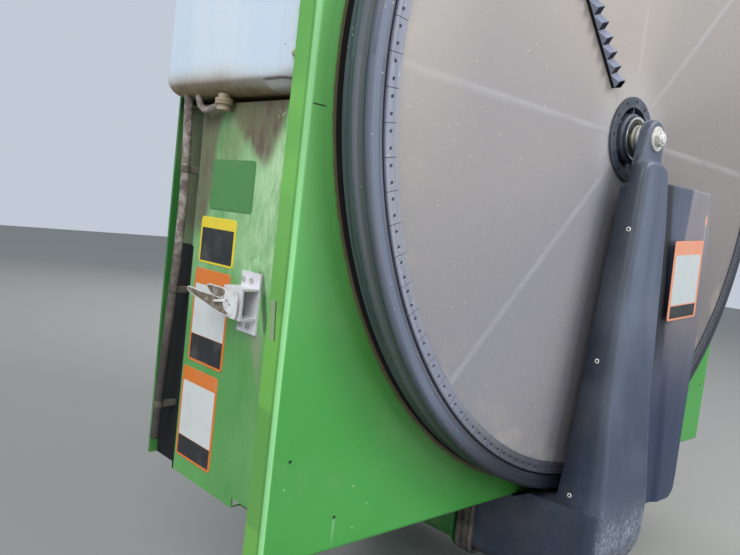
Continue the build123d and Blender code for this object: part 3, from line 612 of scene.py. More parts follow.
def wall_green():
    """Wall paint: y runs along the wall, z up it. Brown dust lies between slanting, ragged lines."""
    finish = Finish("green_wall", Roughness=0.5)
    green_base(finish, (94, 166, 84), (70, 145, 65))
    y = finish.depth()
    z = finish.z / MM
    grain = finish.noise(46.0, 6.0, 0.75, (1.0, 1.0, 0.35))
    upper = z.fade(-420.0, -250.0)
    film = grain * 0.5 + finish.noise(8.0, 4.0, 0.6, (1.0, 1.0, 0.3)) * 0.6
    film = film.fade(0.38, 0.66)
    door_side = y.fade(250.0, 150.0) * 0.5 + 0.5
    finish.lay(film * door_side * (upper * 0.90 + 0.15), (192, 226, 174))
    below_tank = z.fade(60.0, 0.0)
    ragged = (finish.noise(34.0, 5.0, 0.75, (1.0, 1.0, 0.4)) - 0.5) * 46.0
    right_brown = ((y - (z + 63.0) * 1.13 + ragged).fade(302.0, 268.0)
                   * (y + (z + 60.0) * 0.42 + ragged * 0.5).fade(136.0, 164.0)
                   * (z + ragged).fade(-158.0, -112.0))
    left_brown = ((y + (z + 63.0) * 0.14 + ragged * 0.5).fade(300.0, 320.0)
                  * z.fade(-262.0, -222.0))
    dust = (finish.most(right_brown, left_brown * 0.9)
            * (0.82 + grain.fade(0.35, 0.60) * 0.18) * below_tank)
    finish.lay(dust, (112, 99, 83))
    under = z.fade(-235.0, -90.0)
    haze = abs(y - 272.0 + (z + 90.0) * 0.3).fade(52.0, 14.0) * z.fade(-185.0, -110.0)
    finish.lay(haze * below_tank * 0.55, (124, 132, 92))
    dark = grain.fade(0.50, 0.60) * dust
    finish.lay(dark * 0.3, (84, 74, 64))
    # Painted shade on the strip of wall beyond the fold.
    far_end_shade = y.fade(fold_y - 2.0, fold_y + 5.0)
    finish.lay(far_end_shade * 0.45, (66, 86, 56))
    # Painted highlight: a pale line along the fold's bend.
    bend = y.band(fold_y, fold_y + 2.5, 1.6) * z.fade(-262.0, -250.0)
    finish.lay(bend * 0.55, (126, 148, 122))
    # Grainy dirt and painted shade just beyond the fold, below the tank.
    fold_dirt_and_shade = y.fade(fold_y, fold_y + 6.0) * (0.45 + grain.fade(0.40, 0.62) * 0.4)
    finish.lay(fold_dirt_and_shade * below_tank, (84, 88, 62))
    # Painted shade: near black where the wall stands for the open gap beyond the fold.
    gap = finish.most(y.fade(fold_y - 4.0, fold_y - 1.5) * z.fade(gap_z, gap_z - 2.0),
                      y.fade(recess_end_y, recess_end_y + 6.0) * below_tank)
    finish.lay(gap, (15, 16, 18))
    splash = finish.specks(60.0, 0.20)
    finish.lay(splash * under * y.fade(fold_y - 2.0, fold_y - 8.0) * 0.6, (188, 180, 158))
    over_foot = z + 375.0
    near_latch = ((abs(y - 172.0 - over_foot * 0.30) - over_foot * 0.25).fade(32.0, 6.0)
                  * z.band(-452.0, -375.0, 16.0))
    # Painted shadow of the latch on the wall beside it.
    latch_shadow = abs(y - 170.0 - (z + 290.0) * 0.30).fade(9.0, 3.0) * z.band(-360.0, -290.0, 12.0)
    grit = (finish.noise(150.0, 4.0, 0.75) + near_latch * 0.22).fade(0.58, 0.80)
    finish.lay(near_latch * (0.25 + grit * 0.6), (152, 150, 126))
    finish.lay(latch_shadow * 0.7, (46, 66, 44))
    return finish.done(0.44 + finish.most(dust, gap) * 0.45 + film * 0.1, height=grain, depth=0.0005)


finishes["wall"] = wall_green()
print("wall paint ready")

# %% [markdown]
# ## Drum, cloth and band
#
# The drum is grey plastic. Dust rubs off along the turning direction, so its marks are rings: the noise
# is read along the radius and the depth, and hardly along the angle.

# %% Drum and band finishes
def ring_noise(finish, fine, detail=4.0):
    """Noise drawn out along the turning direction."""
    at = finish.join(finish.radius() * fine, finish.angle() * 2.2, finish.y * fine)
    return finish.noise(1.0, detail, 0.6, None, at)


def drum_grey(name, light, deep, dusty):
    """Ringed grey plastic; dusty is the colour of the dirt in its grooves."""
    finish = Finish(name, Roughness=0.5)
    rings = ring_noise(finish, 190.0).fade(0.35, 0.68)
    finish.base(rings, deep, light)
    dirt = ring_noise(finish, 60.0, 6.0).fade(0.50, 0.74)
    finish.lay(dirt * 0.5, dusty)
    finish.lay(finish.specks(120.0, 0.16) * 0.8, (206, 206, 196))
    return finish, rings


def shaded(finish, amount):
    """Painted shade: a dark film towards the drum's foot and right side, where they lie in shade."""
    film = finish.most(finish.z.fade(-0.40, -0.58), finish.x.fade(0.20, 0.44))
    finish.lay(film * amount, (8, 12, 24))


def wall_bands():
    """Side of the drum: a dark foot, a grey-purple bead and a brownish strip under the roll."""
    finish, rings = drum_grey("drum_side", (88, 100, 104), (68, 78, 83), (110, 112, 108))
    y = finish.depth()
    bead = y.band(19.5, 29.5, 2.0)
    finish.lay(bead * (0.55 + rings * 0.4), (108, 108, 118))
    strip = y.band(7.0, 18.0, 2.0)
    finish.lay(strip * (0.35 + rings * 0.5), (86, 88, 86))
    # Painted shade in the groove behind the roll.
    finish.lay(y.fade(8.8, 8.2), (30, 33, 38))
    shaded(finish, 0.9)
    return finish.done(0.42 + rings * 0.2, height=rings, depth=0.0006)


def roll_grey():
    """The rolled front edge: a bluish painted highlight in its middle, and painted shade where it turns in
    and out.
    """
    finish, rings = drum_grey("drum_roll", (91, 97, 111), (72, 78, 91), (100, 97, 94))
    radius = finish.radius()
    # Painted highlight where the roll faces the light.
    middle = radius.band(0.6215, 0.6290, 0.003)
    finish.lay(middle * 0.55, (102, 112, 132))
    # Painted shade where the roll turns in.
    inner = radius.fade(0.6175, 0.6125)
    finish.lay(inner * 0.6, (88, 84, 94))
    shaded(finish, 0.9)
    return finish.done(0.40 + rings * 0.16, height=rings, depth=0.0004)


def band_grey():
    """Clamp band: light blue-grey plastic with a dusty film, and painted shade towards the drum's foot and
    right side.
    """
    finish, rings = drum_grey("clamp_grey", (134, 138, 152), (112, 116, 130), (140, 136, 128))
    shaded(finish, 0.8)
    return finish.done(0.5 + rings * 0.1, height=finish.noise(260.0, 3.0), depth=0.0003)


finishes.update(side=wall_bands(), roll=roll_grey(), band=band_grey())
print("drum finishes ready")

# %% [markdown]
# The screen is a fine wire cloth. Its weave is finer than one picture point, but it still shows as a
# slanting shimmer. The cloth is joined from sectors, so the weave turns from one to the next, and the
# seams are doubled cloth, which is paler.

# %% Screen cloth finish
seam_angles = range(0, 360, 45)
weave_pitch = 0.0031
#                           turn  colour, painted light and shade: each sector's weave meets the light at
#                               its own angle
sector_light_and_shade = [(157, (158, 153, 149)), (-157, (147, 144, 145)), (-112, (134, 133, 141)),
                (-67, (116, 113, 119)), (-22, (111, 105, 106)), (22, (131, 124, 120)),
                (67, (151, 145, 139)), (112, (170, 160, 152))]
seam_half = 4.5


def cloth_finish():
    """Weave as crossed sines, seams by the distance from each radius, clouds of chaff dust, and painted
    light and shade from sector to sector.
    """
    finish = Finish("screen_weave", Roughness=0.6)
    radius = finish.radius()
    cloud = finish.noise(2.3, 3.0).fade(0.36, 0.66)
    finish.base(cloud, (146, 140, 133), (160, 153, 145))
    for turn, tone in sector_light_and_shade:
        a = math.radians(turn)
        toward = (finish.x * math.cos(a) + finish.z * math.sin(a)) / (radius + 0.001)
        finish.lay(toward.fade(0.60, 0.94) * 0.75, tone)
    seam = None
    for turn in seam_angles:
        a = math.radians(turn)
        off = abs(finish.z * math.cos(a) - finish.x * math.sin(a))
        ahead = finish.x * math.cos(a) + finish.z * math.sin(a)
        line = off.fade(seam_half * MM * 2.2, seam_half * MM * 0.3) * ahead.fade(0.05, 0.07)
        seam = line if seam is None else finish.most(seam, line)
    broken = finish.noise(14.0, 4.0, 0.6).fade(0.28, 0.62)
    halo = radius.fade(0.155, 0.07)
    finish.lay(finish.most(seam * (0.11 + broken * 0.20), halo * 0.35), (186, 184, 188))
    chaff = finish.noise(120.0, 5.0, 0.8).fade(0.50, 0.74)
    finish.lay(chaff * 0.30, (178, 166, 146))
    edge_dust = radius.fade(0.50, 0.60) * finish.noise(13.0, 4.0).fade(0.50, 0.72)
    finish.lay(edge_dust * 0.40, (190, 180, 160))
    upper_left = radius.fade(0.40, 0.58) * finish.x.fade(-0.25, -0.52) * finish.z.fade(-0.2, 0.1)
    finish.lay(upper_left * 0.35, (208, 196, 182))
    warp = finish.sine((finish.x + finish.z * 0.42) * (2 * math.pi / weave_pitch))
    weft = finish.sine((finish.z - finish.x * 0.42) * (2 * math.pi / weave_pitch))
    weave = (warp * weft + 1.0) * 0.5
    finish.lay(weave * 0.52, (92, 89, 90))
    finish.lay(finish.specks(75.0, 0.15) * 0.32, (222, 216, 204))
    return finish.done(0.62, 0.05, height=weave, depth=0.0005, strength=0.5)


finishes["cloth"] = cloth_finish()
print("weave of", weave_pitch * 1000, "mm, seams:", len(seam_angles))

# %% [markdown]
# The cloth is one ring-shaped surface. Going along its section, the front runs from the hub's hole out
# to the rim and the back runs home again, which closes it. Each seam lifts the front by under a
# millimetre, and between the seams the cloth sags a little.

# %% Screen cloth
mesh_r, mesh_back = reach("screen_mesh")[1][:2]
hub_hole_r = 57.9


def screen_cloth(across=44, count=720):
    """y = sag sin(pi s) |sin(4a)| - lift at the seams, for s from the hole to the rim and angle a."""
    s = np.linspace(0, 1, across)
    r = hub_hole_r + (mesh_r - hub_hole_r) * s
    a = full_turn(count)[:, None]
    off = np.full((count, across), 1e9)
    for turn in np.radians(seam_angles):
        ahead = np.cos(a - turn)
        off = np.where(ahead > 0, np.minimum(off, np.abs(np.sin(a - turn)) * r), off)
    lift = 0.35 * np.exp(-(off / seam_half) ** 4)
    sag = 0.9 * np.sin(np.pi * s) * np.abs(np.sin(4 * a))
    front = joined(r * np.cos(a), 0.3 + sag - lift, r * np.sin(a))
    back_r = np.linspace(mesh_r, hub_hole_r, 8)
    back = joined(back_r * np.cos(a), mesh_back, back_r * np.sin(a))
    return grid(np.concatenate([front, back], axis=1), along=True).outward()


piece("screen_cloth", screen_cloth(), "rotor", "screen_cloth", "cloth", ["screen_mesh"])

# %% [markdown]
# A plastic band clamps the cloth's edge. It is cut by a slit at every second hole, so it bends round.
# One tile is a strip of surface from a rectangle in to a round countersunk hole and down its bore; a
# hundred and eighty tiles on a circle make the band. The screws sit deep, so the holes look dark.

# %% Clamp band
band_low, band_high = reach("clamp_band")
band_out = band_high[0]
band_front = band_low[1]
band_w = 21.0
hole_count, hole_ring_r = 180, 600.0
hole_r, sink_r = 2.2, 3.0
slit = 0.9


def band_tiles(around=16):
    """Rows outer foot, outer edge, eased edge, countersink, bore and floor, for every tile at once."""
    t = full_turn(around)
    ring = joined(np.cos(t), np.sin(t))
    box = ring / np.abs(ring).max(axis=1, keepdims=True)
    half_r = band_w / 2
    half_l = np.pi / hole_count * hole_ring_r
    mid_r = band_out - half_r
    tile = np.arange(hole_count)[:, None]
    gap_before = np.where(tile % 2 == 0, slit, 0.0) / 2
    gap_after = np.where(tile % 2 == 0, 0.0, slit) / 2
    side = np.where(box[:, 1] < 0, half_l - gap_before, half_l - gap_after)
    rows = []
    for inset, depth in ((0.0, -0.2), (0.0, band_front + 0.9), (0.8, band_front)):
        rows.append(joined(mid_r + box[:, 0] * (half_r - inset), box[:, 1] * side, depth))
    for radius, depth in ((sink_r, band_front), (hole_r, band_front + 0.8), (hole_r, -1.0)):
        rows.append(joined(hole_ring_r + ring[:, 0] * radius, ring[:, 1] * radius + 0 * side, depth))
    r, across, y = np.moveaxis(np.stack(rows, axis=1), -1, 0)
    a = tile[:, :, None] * (2 * np.pi / hole_count) + across / hole_ring_r
    points = joined(r * np.cos(a), y, r * np.sin(a))
    one = capped(points[0])
    n = len(one.points)
    middles = np.stack([points[:, 0].mean(axis=1), points[:, -1].mean(axis=1)], axis=1)
    every = np.concatenate([points.reshape(hole_count, -1, 3), middles], axis=1)
    shift = (np.arange(hole_count) * n)[:, None, None]
    return Shape(every, one.quads[None] + shift, one.tris[None] + shift)


piece("band_segments", band_tiles(), "rotor", "drum_grey", "band", ["clamp_band"], crease=30)

# %% [markdown]
# The drum's front edge is a roll: the sheet climbs out of the groove beside the band, curves over and
# ends in a small undercut, which draws a dark line round the drum. Behind it the side wall carries a
# raised bead. Both are a profile turned about the axis.

# %% Roll and side wall of the drum
rim_low, rim_high = reach("drum_rim")
rim_r, rim_top, rim_back = rim_high[0], rim_low[1], rim_high[1]
groove_r, seat_y, ledge_r = 612.0, 2.0, 584.0
side_r, side_back = reach("drum_wall")[1][:2]


def roll_profile():
    """Ledge, groove wall, a flat-topped roll of two round edges, and the undercut."""
    inner = np.array([groove_r + 4.0, rim_top + 4.0]) + arc(4.0, 180, 270)
    outer = np.array([rim_r - 5.5, rim_top + 5.5]) + arc(5.5, 270, 360, 8)
    crown = np.array([[(groove_r + rim_r) / 2, rim_top]])
    foot = [(rim_r, rim_back - 1.2), (rim_r - 0.6, rim_back), (ledge_r, rim_back), (ledge_r, seat_y),
            (groove_r, seat_y)]
    return np.concatenate([inner, crown, outer, foot])


def side_profile():
    """Groove behind the roll, straight wall with a soft bead 2 sin(pi s)^0.8 high, rear edge turned in."""
    wall_r = side_r - 2.0
    y = np.linspace(17.5, 31.5, 15)
    bead = joined(wall_r + 2.0 * np.sin(np.pi * (y - y[0]) / (y[-1] - y[0])) ** 0.8, y)
    rear = np.array([wall_r - 1.6, side_back - 1.6]) + arc(1.6, 0, 90, 4)
    front = [(wall_r - 3.9, rim_back), (wall_r - 2.6, rim_back), (wall_r - 2.6, rim_back + 2.0),
             (wall_r, rim_back + 2.6)]
    return np.concatenate([front, bead, rear, [(wall_r - 3.9, side_back)]])


piece("drum_roll", spun(roll_profile()), "rotor", "drum_grey", "roll", ["drum_rim"])
piece("drum_side", spun(side_profile()), "rotor", "drum_grey", "side", ["drum_wall"])

# %% [markdown]
# ## Brush seal
#
# A thin lip runs round the door's hole, and bristles behind it close the gap to the turning drum. They
# are too fine to model one by one: a ring whose inner edge is ragged, drawn from seeded random numbers,
# reads as bristles. The black ring reaches in behind the drum's rear edge, where it also stands for the
# shade inside the housing.

# %% Brush
def brush_finish():
    """Black bristles with a fine strand pattern."""
    finish = Finish("brush_bristle", Roughness=0.9)
    at = finish.join(finish.radius() * 60, finish.angle() * 900, finish.y * 60)
    strand = finish.noise(1.0, 2.0, 0.6, None, at)
    finish.base(strand, (12, 11, 12), (30, 26, 27))
    return finish.done(height=strand, depth=0.001)


def bristles(count=1800, seed=5):
    """Section from the door's hole in behind the drum's rear edge, its tips ragged by up to 1.5 mm;
    reaching in there, the black ring also stands for the shade inside the housing.
    """
    draw = np.random.default_rng(seed)
    ragged = draw.random((count, 1)) * 1.5
    tip_r, root_r = door_hole_r - 26.0, door_hole_r - 0.4
    section = np.array([(tip_r, 60.6), (tip_r - 0.4, 61.6), (tip_r, 62.6),
                        (root_r, 64.0), (root_r, 60.0), (door_hole_r - 8.0, 60.0)])
    tips = np.array([[1.0, 1.0, 1.0, 0.0, 0.0, 0.0]])
    return spun(section, count, ragged * tips)


door_hole_r = reach("brush_seal")[1][0] - 5.0
lip_r, lip_root_r = 635.0, door_hole_r + 4.6
lip = [(lip_r, 59.0), (lip_r + 0.3, 58.8), (lip_root_r, 59.9), (lip_root_r, 60.2), (lip_r, 60.2)]
finishes["brush"] = brush_finish()
piece("bristle_ring", bristles(), "door", "brush_fibre", "brush")
piece("door_lip", spun(lip), "door", "green_paint", "door", ["brush_seal"], crease=30)

# %% [markdown]
# ## Suction duct
#
# Both ducts are of slate plastic. Rain leaves upright streaks on it, the arm's foot is scuffed where it
# sticks out most, and the second duct is bleached near its top. Painted shade darkens both ducts towards
# their feet, the arm's left wall and the second duct's recess.

# %% Duct plastic
arm_foot = reach("suction_arm")[0][2]


def duct_finish(name, light, deep, faded=None):
    """Slate plastic with upright streaks, dust specks, scuffs where the foot sticks out most, and painted
    shade towards the foot, on the arm's left wall and in the second duct's recess.
    """
    finish = Finish(name, Roughness=0.5)
    streak = finish.noise(16.0, 4.0, 0.6, (1.0, 1.0, 0.10)).fade(0.36, 0.70)
    finish.base(streak, deep, light)
    y = finish.depth()
    x = finish.x / MM
    z = finish.z / MM
    if faded:
        bleach = finish.noise(4.5, 4.0, 0.6, (1.0, 1.0, 0.35)).fade(0.20, 0.50)
        front_face = (x - z * 0.13).fade(172.0, 181.0)
        finish.lay(bleach * z.fade(-560.0, -240.0) * 0.9 * front_face, faded)
        finish.lay(z.fade(-250.0, -100.0) * front_face * 0.45, (138, 134, 140))
        spot_x, spot_z = 240.0, -122.0
        spot = (((x - spot_x) ** 2 + ((z - spot_z) * 0.45) ** 2) ** 0.5).fade(6.0, 3.0)
        finish.lay(spot * 0.8, (226, 152, 112))
        trail = abs(x - spot_x).fade(5.0, 1.0) * z.band(spot_z - 68.0, spot_z - 12.0, 8.0)
        finish.lay(trail * 0.35, (170, 164, 166))
    else:
        # Painted shade: darker and bluer towards the arm's foot.
        finish.lay(z.fade(-260.0, -560.0) * 0.85, (46, 56, 76))
        # Painted shade on the arm's left wall, weaker towards the foot.
        from_left = x + 50.0 - (finish.most(z, arm_foot) + 69.0) * 0.128
        shade = from_left.fade(26.0, 4.0) * z.fade(-20.0, -70.0) * (z.fade(-620.0, -420.0) * 0.6 + 0.4)
        finish.lay(shade * 0.68, (40, 45, 52))
    haze = finish.noise(6.0, 4.0, 0.6).fade(0.48, 0.75)
    finish.lay(haze * 0.22, (112, 118, 132))
    brown = finish.noise(11.0, 5.0, 0.7).fade(0.44, 0.70) * y.fade(-80.0, -30.0)
    finish.lay(brown * 0.40, (86, 80, 76))
    if faded:
        # Painted shade: near black in the recess beside the arm, and dark navy towards the foot.
        recess = (x + z * 0.17).fade(90.0, 78.0) * z.fade(-480.0, -330.0)
        finish.lay(recess * 0.9, (18, 20, 24))
        finish.lay(z.fade(-300.0, -540.0) * 0.85, (28, 42, 72))
    worn_z, worn_y = -705.0, -92.0
    worn = ((((z - worn_z) * 0.75) ** 2 + (y - worn_y) ** 2) ** 0.5).fade(84.0, 20.0)
    brushed = finish.noise(120.0, 5.0, 0.8, (1.0, 1.0, 0.4))
    grit = finish.noise(260.0, 5.0, 0.8, (1.0, 1.0, 0.6))
    worn = worn * x.fade(-119.0, -104.0) * x.fade(78.0, 66.0)
    scuff = (brushed * 0.35 + grit * 0.65 + worn * 0.10).fade(0.56, 0.68) * worn
    finish.lay(worn * 0.35, (104, 112, 124))
    finish.lay(scuff * 0.50, (172, 180, 190))
    grain = finish.noise(620.0, 2.0)
    finish.lay(finish.specks(110.0, 0.12) * 0.5, (170, 172, 172))
    return finish.done(0.46 + haze * 0.15 + scuff * 0.2, height=grain + scuff * 0.6,
                       depth=0.0004, strength=0.4)


finishes.update(
    duct=duct_finish("duct_slate", (82, 92, 110), (64, 72, 88)),
    cover=duct_finish("duct_faded", (76, 84, 102), (56, 63, 78), (112, 104, 107)),
)
print("duct plastic ready")

# %% [markdown]
# The long arm is one plastic moulding, open towards the screen. Its section is a channel with round
# front edges that grows from the spindle to the foot, so it is a table of a few sections, read between
# its rows and softened. The fixing tab at its top is another shape: an outline whose edge is rolled
# back into a skirt.

# %% Arm
arm_back, notch_z = -24.0, -89.0
foot_left, foot_right = -123.0, 66.0
tab_r, tab_drop, tab_front = 32.0, 50.0, -50.0
#   height  left    right  front  round left, right
arm_table = [
    (-28.0, -38.6, 33.0, -61.0, 5.0, 4.0),
    (-36.0, -40.2, 34.5, -61.2, 6.0, 5.0),
    (-44.0, -42.0, 40.0, -61.4, 7.0, 8.0),
    (-49.0, -43.5, 46.0, -61.6, 9.0, 12.0),
    (-68.8, -50.0, 52.5, -62.0, 10.0, 16.0),
    (-111.0, -55.0, 61.0, -64.0, 11.0, 19.0),
    (-158.0, -60.0, 69.0, -66.0, 12.0, 22.0),
    (-283.0, -75.0, 79.0, -69.0, 14.0, 24.0),
    (-461.5, -94.0, 75.0, -82.0, 18.0, 26.0),
    (-560.0, -107.5, 69.0, -96.0, 22.0, 26.0),
    (-615.0, -117.0, 66.5, -103.6, 25.0, 26.0),
    (arm_foot, foot_left, foot_right, -106.0, 26.0, 26.0),
    (arm_foot - 12.0, foot_left, foot_right, -106.0, 26.0, 26.0),
]


def arm_body(rows=150):
    """Channel from the shoulder down. Its front stands flush with the tab above the arch
    z = -36 - 11 |(x + 2) / 42|^3 and rises out of it below."""
    z = np.concatenate([np.linspace(-34.0, -64.0, 31), np.linspace(-66.0, arm_foot + 2.0, rows),
                        [arm_foot - 0.2, arm_foot - 0.4]])
    left, right_x, front, r_left, r_right = eased(arm_table, z, 6.0)
    back = np.interp(-z, [-notch_z - 3, -notch_z], [-34.0, arm_back])
    corners = joined(joined(left, left, right_x, right_x), joined(back, front, front, back))
    path = soft_path(corners, joined(r_left, r_right), 9)
    across = np.linspace(0, 1, 22)[None, 1:-1, None]
    middle = path[:, 9:10] + (path[:, 10:11] - path[:, 9:10]) * across
    path = np.concatenate([path[:, :10], middle, path[:, 10:]], axis=1)
    arch = -36.0 - 11.0 * np.abs((path[..., 0] + 2.0) / 42.0) ** 3
    flat = (1 - np.clip((arch - z[:, None]) / 10.0, 0, 1)) ** 2
    flat[:, [0, -1]] = 0.0
    y = path[..., 1] + flat * (-49.6 - front[:, None])
    return grid(joined(path[..., 0], y, z[:, None]), around=False).outward()


def tab_outline(count=40):
    """Half circle over the spindle, straight sides, and half an ellipse that ends inside the arm."""
    drop = np.linspace(0, 1, 12)[1:, None]
    left = np.array([-tab_r, 0.0]) + drop * np.array([-10.4, -tab_drop])
    b = np.linspace(np.pi, 2 * np.pi, 24)[1:]
    foot = joined(37.3 * np.cos(b) - 5.1, 16.0 * np.sin(b) - tab_drop)
    right_side = np.array([32.2, -tab_drop]) + drop[:-1] * np.array([-0.2, tab_drop])
    return np.concatenate([arc(tab_r, 0, 180, count), left, foot, right_side])


def tab_rows():
    """Outline moved inwards along its normals, row by row, as (inset, y) says."""
    line = tab_outline()
    inward = unit_normals(np.roll(line, -1, axis=0) - np.roll(line, 1, axis=0))
    edge = arc(5.0, 90, 0, 6)
    table = [(5.8, tab_front), (5.4, tab_front)] + [(5.0 - c, tab_front + 5.0 - s) for c, s in edge]
    table += [(0.0, -36.6), (-1.4, -36.0), (-1.6, -34.6), (-1.4, -33.2),
              (2.2, -33.2), (3.6, -36.0), (4.5, -45.0)]
    table = np.array(table)
    flat = line[None] + inward[None] * table[:, :1, None]
    return joined(flat[..., 0], table[:, 1:2], flat[..., 1])


piece("suction_arm_body", arm_body(), "door", "duct_plastic", "duct", ["suction_arm"],
      wall=3.5)
piece("arm_tab", capped(tab_rows()), "door", "duct_plastic", "duct")

# %% [markdown]
# The second duct is wider and flatter, with a recess in painted shade and a slanting facet on its left.
# Its section is a line of corners, each eased a little. A fan of triangles closes it above and below.

# %% Second duct
#     height  right  front
cover_table = [
    (-62.0, 250.0, -56.0),
    (-148.0, 265.0, -58.0),
    (-261.0, 275.0, -60.0),
    (-461.5, 278.0, -60.0),
    (-575.0, 280.0, -59.0),
    (-640.0, 284.0, -58.0),
    (-693.6, 286.0, -56.0),
]
cover_low, cover_high = reach("second_duct")


def cover_body(rows=90):
    """Facetted channel from top to foot; its right foot corner is a quarter circle."""
    top, foot, corner, edge = cover_high[2], cover_low[2], 24.0, 3.0
    turn = np.linspace(0, np.pi / 2, 14)
    z = np.concatenate([top - edge * (1 - np.cos(turn[::3])),
                        np.linspace(top - edge - 2, foot + corner, rows),
                        foot + corner * (1 - np.sin(turn[1:]))])
    right_x, front = eased(cover_table, z, 6.0)
    left = eased([row[:3] for row in arm_table], np.maximum(z, arm_foot), 6.0)[1] + 0.3
    near = np.clip((foot + corner - z) / corner, 0, 1)
    right_x = right_x - corner * (1 - np.sqrt(1 - near ** 2))
    sink = np.clip((z - (top - edge)) / edge, 0, 1)
    front = front + edge * (1 - np.sqrt(1 - sink ** 2))
    facet = 84.0 - z * 0.17
    face = np.maximum(176.0 + z * 0.13, facet + 12.0)
    xs = joined(left, left, facet, face, right_x, right_x)
    ys = joined(arm_back, front + 12, front + 8, front, front, arm_back)
    path = soft_path(joined(xs, ys), [2.0, 3.0, 5.0, 6.0], 5)
    rows = joined(path[..., 0], path[..., 1], z[:, None])
    body = grid(rows, around=False)
    m, n = rows.shape[:2]
    i = np.arange(n - 1)
    middles = (rows[[0, -1], 0] + rows[[0, -1], -1]) / 2
    last = (m - 1) * n + i
    fans = np.vstack([joined(m * n, i + 1, i), joined(m * n + 1, last, last + 1)])
    return Shape(np.vstack([body.points, middles]), body.quads, fans).outward()


piece("second_duct_body", cover_body(), "door", "duct_plastic", "cover", ["second_duct"],
      wall=2.0)

# %% [markdown]
# Under the door the arm turns back as an elbow and ends in a ribbed rubber collar. The elbow's outer
# line goes down, round a quarter circle and back; its inner line is short and stepped. At each station
# along them a closed section joins the two, with its outer edges rounded off along the outer line's
# own normal.

# %% Elbow and bellows
boot_low, boot_high = reach("duct_boot")
bend_r, edge_r, under_door = 110.0, 26.0, -667.0


def elbow(count=90):
    """Closed sections from the inner line (y, z) to the outer one, round at the two outer edges."""
    y_front, floor, end = boot_low[1], boot_low[2], boot_high[1]
    top = arm_foot - 2.6
    quarter = np.array([y_front + bend_r, floor + bend_r]) + arc(bend_r, 180, 270, 24)
    outer = along(np.concatenate([[(y_front, arm_foot)], quarter, [(end, floor)]]), count)
    inner = along([(arm_back, arm_foot), (arm_back + 2.0, top), (26.0, top), (58.0, -660.0),
                   (100.0, -661.0), (end, under_door)], count)
    outer = np.vstack([outer[:1], outer[:1] - (0.0, 0.3), outer[1:]])
    inner = np.vstack([inner[:1], inner[:1], inner[1:]])
    normal = unit_normals(np.gradient(outer, axis=0))
    a = np.linspace(0, np.pi / 2, 9)
    out = edge_r * (1 - np.sin(a))
    side = edge_r * (1 - np.cos(a))
    rounded = outer[:, None, :] + normal[:, None, :] * np.concatenate([out, out[::-1]])[None, :, None]
    flat = np.concatenate([inner[:, None], rounded, inner[:, None]], axis=1)
    right_x = foot_right - (foot_right - boot_high[0]) * np.linspace(0, 1, len(outer))[:, None]
    left_x = np.full_like(right_x, boot_low[0])
    wide = np.concatenate([left_x, left_x + side, right_x - side[::-1], right_x], axis=1)
    return grid(np.concatenate([wide[..., None], flat], axis=-1)).outward()


def rubber_finish(name, light, deep):
    """Dusty rubber: clouds of brown-grey dust over near-black."""
    finish = Finish(name, Roughness=0.85)
    dust = finish.noise(24.0, 5.0, 0.65).fade(0.30, 0.66)
    finish.base(dust, deep, light)
    return finish.done(height=finish.noise(160.0, 4.0), depth=0.0006)


def bellows():
    """Loops round the outlet. Their offset swings over the ribs, 3 + 6 |cos(2.5 pi s)|^0.7, and is
    smaller near both ends."""
    low, high = reach("outlet_bellows")
    s = np.linspace(0, 1, 49)
    near_end = np.minimum(1, 8 * np.minimum(s, 1 - s) + 0.4)
    offset = 3.0 + 6.0 * np.abs(np.cos(np.pi * 2.5 * s)) ** 0.7 * near_end
    y = low[1] + (high[1] - low[1]) * s
    out = loops(boot_low[0] - offset, boot_high[0] + offset, boot_low[2] - offset,
                under_door + offset, edge_r * 0.8 + offset, 8)
    rows = joined(out[..., 0], y[:, None], out[..., 1])
    inner = loops(boot_low[0] + 0.2, boot_high[0] - 0.2, boot_low[2] + 0.2, under_door - 0.2,
                  edge_r * 0.8, 8)[0]
    back = joined(inner[:, 0], np.array([[high[1]], [low[1]]]), inner[:, 1])
    return grid(np.concatenate([rows, back]), along=True).outward()


finishes.update(
    bellows=rubber_finish("bellows_rubber", (112, 104, 96), (34, 33, 33)),
    rubber=rubber_finish("plain_rubber", (70, 68, 64), (26, 26, 27)),
)
piece("duct_elbow", elbow(), "door", "duct_plastic", "duct", ["duct_boot"], wall=3.5)
piece("bellows_ribs", bellows(), "door", "rubber", "bellows", ["outlet_bellows"])

# %% [markdown]
# ## Metal finishes
#
# Steel turned on a lathe shows at the bearing, dull zinc on fasteners and the latch, and dull brass on
# the tank's bolt. Bright metal still needs stains, or it looks like a mirror.

# %% Steel, zinc and brass
def metal_finish(name, light, stain, rough, metal=0.85, dirt=0.35):
    """Bare metal with blots of stain."""
    finish = Finish(name, Roughness=rough)
    blot = finish.noise(60.0, 5.0, 0.7).fade(0.45, 0.72)
    finish.base(blot * dirt, light, stain)
    return finish.done(rough + blot * 0.25, metal - 0.5 * dirt, height=finish.noise(240.0, 3.0),
                       depth=0.0002)


def turned_steel(name, light, rim_start, rim_stop):
    """Steel turned on a lathe: painted highlights in rings along y and painted shade at its foot; past the
    rim it is painted.
    """
    finish = Finish(name, Roughness=0.3)
    y = finish.depth()
    blot = finish.noise(60.0, 5.0, 0.7).fade(0.45, 0.72)
    finish.base(blot * 0.35, light, (118, 114, 94))
    # Painted highlights: pale rings along y.
    pale = finish.most(y.band(-18.0, -15.5, 1.0), y.band(-28.5, -24.0, 1.5))
    finish.lay(pale * 0.8, (236, 238, 232))
    # Painted shade towards the foot.
    finish.lay(finish.z.fade(0.012, -0.022) * 0.6, (96, 98, 94))
    if rim_stop:
        finish.lay(finish.radius().fade(rim_start, rim_stop), (70, 76, 88))
    return finish.done(0.3 + blot * 0.25, 0.55, height=finish.noise(240.0, 3.0), depth=0.0002)


